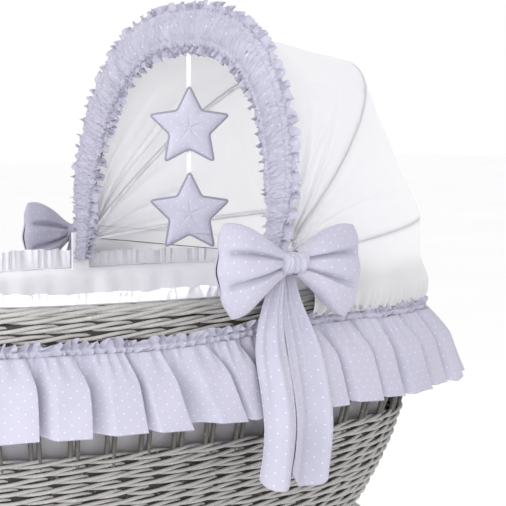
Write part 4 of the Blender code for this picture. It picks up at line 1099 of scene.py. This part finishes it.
def build_mobile():
    for name in ("upper_star", "lower_star"):
        low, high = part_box(name)
        middle = (low + high) / 2
        build_star(f"padded_{name}", Vector((middle.x, middle.y, high.z - STAR_RADIUS)))
    low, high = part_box("mobile_ribbon")
    middle = (low + high) / 2
    v = np.linspace(0, 1, 60)[None, :]
    u = np.linspace(-0.5, 0.5, 5)[:, None]
    turn = 0.25 * np.sin(7 * v) * np.sin(math.pi * v)
    x = middle.x + RIBBON_WIDTH * u * np.cos(STAR_TURN + turn)
    y = middle.y + RIBBON_WIDTH * u * np.sin(STAR_TURN + turn)
    z = high.z + 0.004 - (high.z + 0.004 - low.z) * v + 0 * u
    points = np.stack(np.broadcast_arrays(x, y, z), -1)
    o = grid("satin_ribbon", points, u=RIBBON_WIDTH * u[:, 0], v=0.24 * v[0])
    dress(solidify(o, 0.0005), BEDDING, "bedding", "mobile", "mobile_ribbon")


# --- Stand --------------------------------------------------------------------------------------


def paint(names, material):
    for name in names:
        NODES[name].data.materials.clear()
        NODES[name].data.materials.append(material)


def build_tray():
    """The shelf's tray: a woven floor of rods across and a wale wall."""
    low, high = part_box("shelf_tray")
    half_length, half_width = high.x, high.y
    tall = high.z - low.z

    def tray_ring(share, inset, z, out):
        share, inset, z, out = np.broadcast_arrays(share, inset, z, out)
        p = around(share, 0.0, z, 0.0)
        p[..., 0] *= (half_length - inset + out) / HALF_LENGTH
        p[..., 1] *= (half_width - inset + out) / HALF_WIDTH
        return p

    paths = []
    for k in range(TRAY_ROWS):
        level = (k + 0.5) / TRAY_ROWS
        depth = RIM - (low.z + tall * level)
        inset = 0.0042 + 0.0115 * (1 - level)
        paths.append(wale_row(depth, inset, 0.0026, 0.0024, 300 + k, pairs=34, place=tray_ring))
    wall = tubes("tray_wall_weave", paths, TRAY_ROD, 6, closed=True)
    dress(wall, WILLOW, "wicker", "stand", "shelf_tray")
    rods = []
    for k, y in enumerate(np.arange(-0.118, 0.1181, 0.0095)):
        limit = (half_length - 0.018) * (1 - (abs(y) / (half_width - 0.016)) ** 2.5) ** 0.4
        x = np.linspace(-limit, limit, 90)
        z = low.z + 0.0045 + 0.0016 * np.sin(x / 0.022 * math.pi + math.pi * (k % 2))
        rods.append(np.stack([x, y + 0.0004 * np.sin(40 * x + k), z], -1))
    floor = tubes("tray_floor_rods", rods, 0.0034, 6)
    dress(floor, WILLOW, "wicker", "stand")
    ribs = []
    for x in np.arange(-0.286, 0.2861, 0.022):
        limit = (half_width - 0.018) * (1 - (abs(x) / (half_length - 0.016)) ** 2.5) ** 0.4
        y = np.linspace(-limit, limit, 12)
        ribs.append(np.stack([x + 0 * y, y, low.z + 0.0045 + 0 * y], -1))
    dress(tubes("tray_floor_ribs", ribs, 0.0026, 6), WILLOW, "wicker", "stand")


def build_stand():
    build_tray()
    corners = [f"{end}_{side}" for end in ("head", "foot") for side in ("near", "far")]
    wood = ["cradle_ring", "slat_head", "slat_foot", "side_rail_near", "side_rail_far", "shelf_bar_head"]
    wood += ["shelf_bar_foot"] + [f"leg_{c}" for c in corners]
    paint(wood, WOOD)
    paint(["basket_base"], WILLOW)
    for c in corners:
        paint([f"caster_{c}_stem", f"caster_{c}_fork", f"caster_{c}_axle"], STEEL)
        paint([f"caster_{c}_wheel"], RUBBER)
    paint(["caster_foot_near_pedal", "caster_foot_far_pedal"], PLASTIC)


# --- Stage --------------------------------------------------------------------------------------


def build_stage():
    side = 30.0
    points = np.zeros((2, 2, 3))
    points[0, :, 0], points[1, :, 0] = -side, side
    points[:, 0, 1], points[:, 1, 1] = -side, side
    floor = grid("floor", points)
    look = Look("pale_floor", 0.9)
    look.colour(look.ramp(look.noise(0.6, 2.0), [(0.3, (0.96, 0.96, 0.96)), (0.7, (0.98, 0.98, 0.98))]))
    floor.data.materials.append(look.material)
    world = bpy.data.worlds.new("studio")
    world.use_nodes = True
    world.node_tree.nodes["Background"].inputs["Color"].default_value = (1.0, 1.0, 1.0, 1)
    world.node_tree.nodes["Background"].inputs["Strength"].default_value = 1.0
    bpy.context.scene.world = world
    bpy.context.scene.view_settings.view_transform = "Standard"
    for name, place, size, power in (
        ("key", (1.6, -3.4, 2.6), 1.6, 16.0),
        ("fill", (-3.2, -0.5, 1.5), 1.8, 36.0),
        ("front", (-2.6, -2.9, 1.7), 2.4, 56.0),
    ):
        light = bpy.data.lights.new(name, "AREA")
        light.shape, light.size, light.energy = "SQUARE", size, power
        o = bpy.data.objects.new(name, light)
        bpy.context.scene.collection.objects.link(o)
        o.location = place
        aim = Vector((0.05, 0, 0.75)) - Vector(place)
        o.rotation_euler = aim.to_track_quat("-Z", "Y").to_euler()


def build_camera():
    camera = bpy.data.cameras.new("camera")
    camera.lens, camera.sensor_width = LENS, 36.0
    camera.clip_end = 200.0
    o = bpy.data.objects.new("camera", camera)
    bpy.context.scene.collection.objects.link(o)
    o.location = CAMERA_PLACE
    o.rotation_euler = CAMERA_FORWARD.to_track_quat("-Z", "Y").to_euler()
    bpy.context.scene.camera = o


build_basket()
build_liner()
build_frill()
build_mattress()
build_heading()
build_skirt()
build_hood()
build_bow("near_bow", 0.032, 0.043, -1, 0.0, 1.0)
build_bow("far_bow", 0.100, 0.052, 1, math.radians(13), 0.88)
build_mobile()
build_stand()
build_stage()
build_camera()
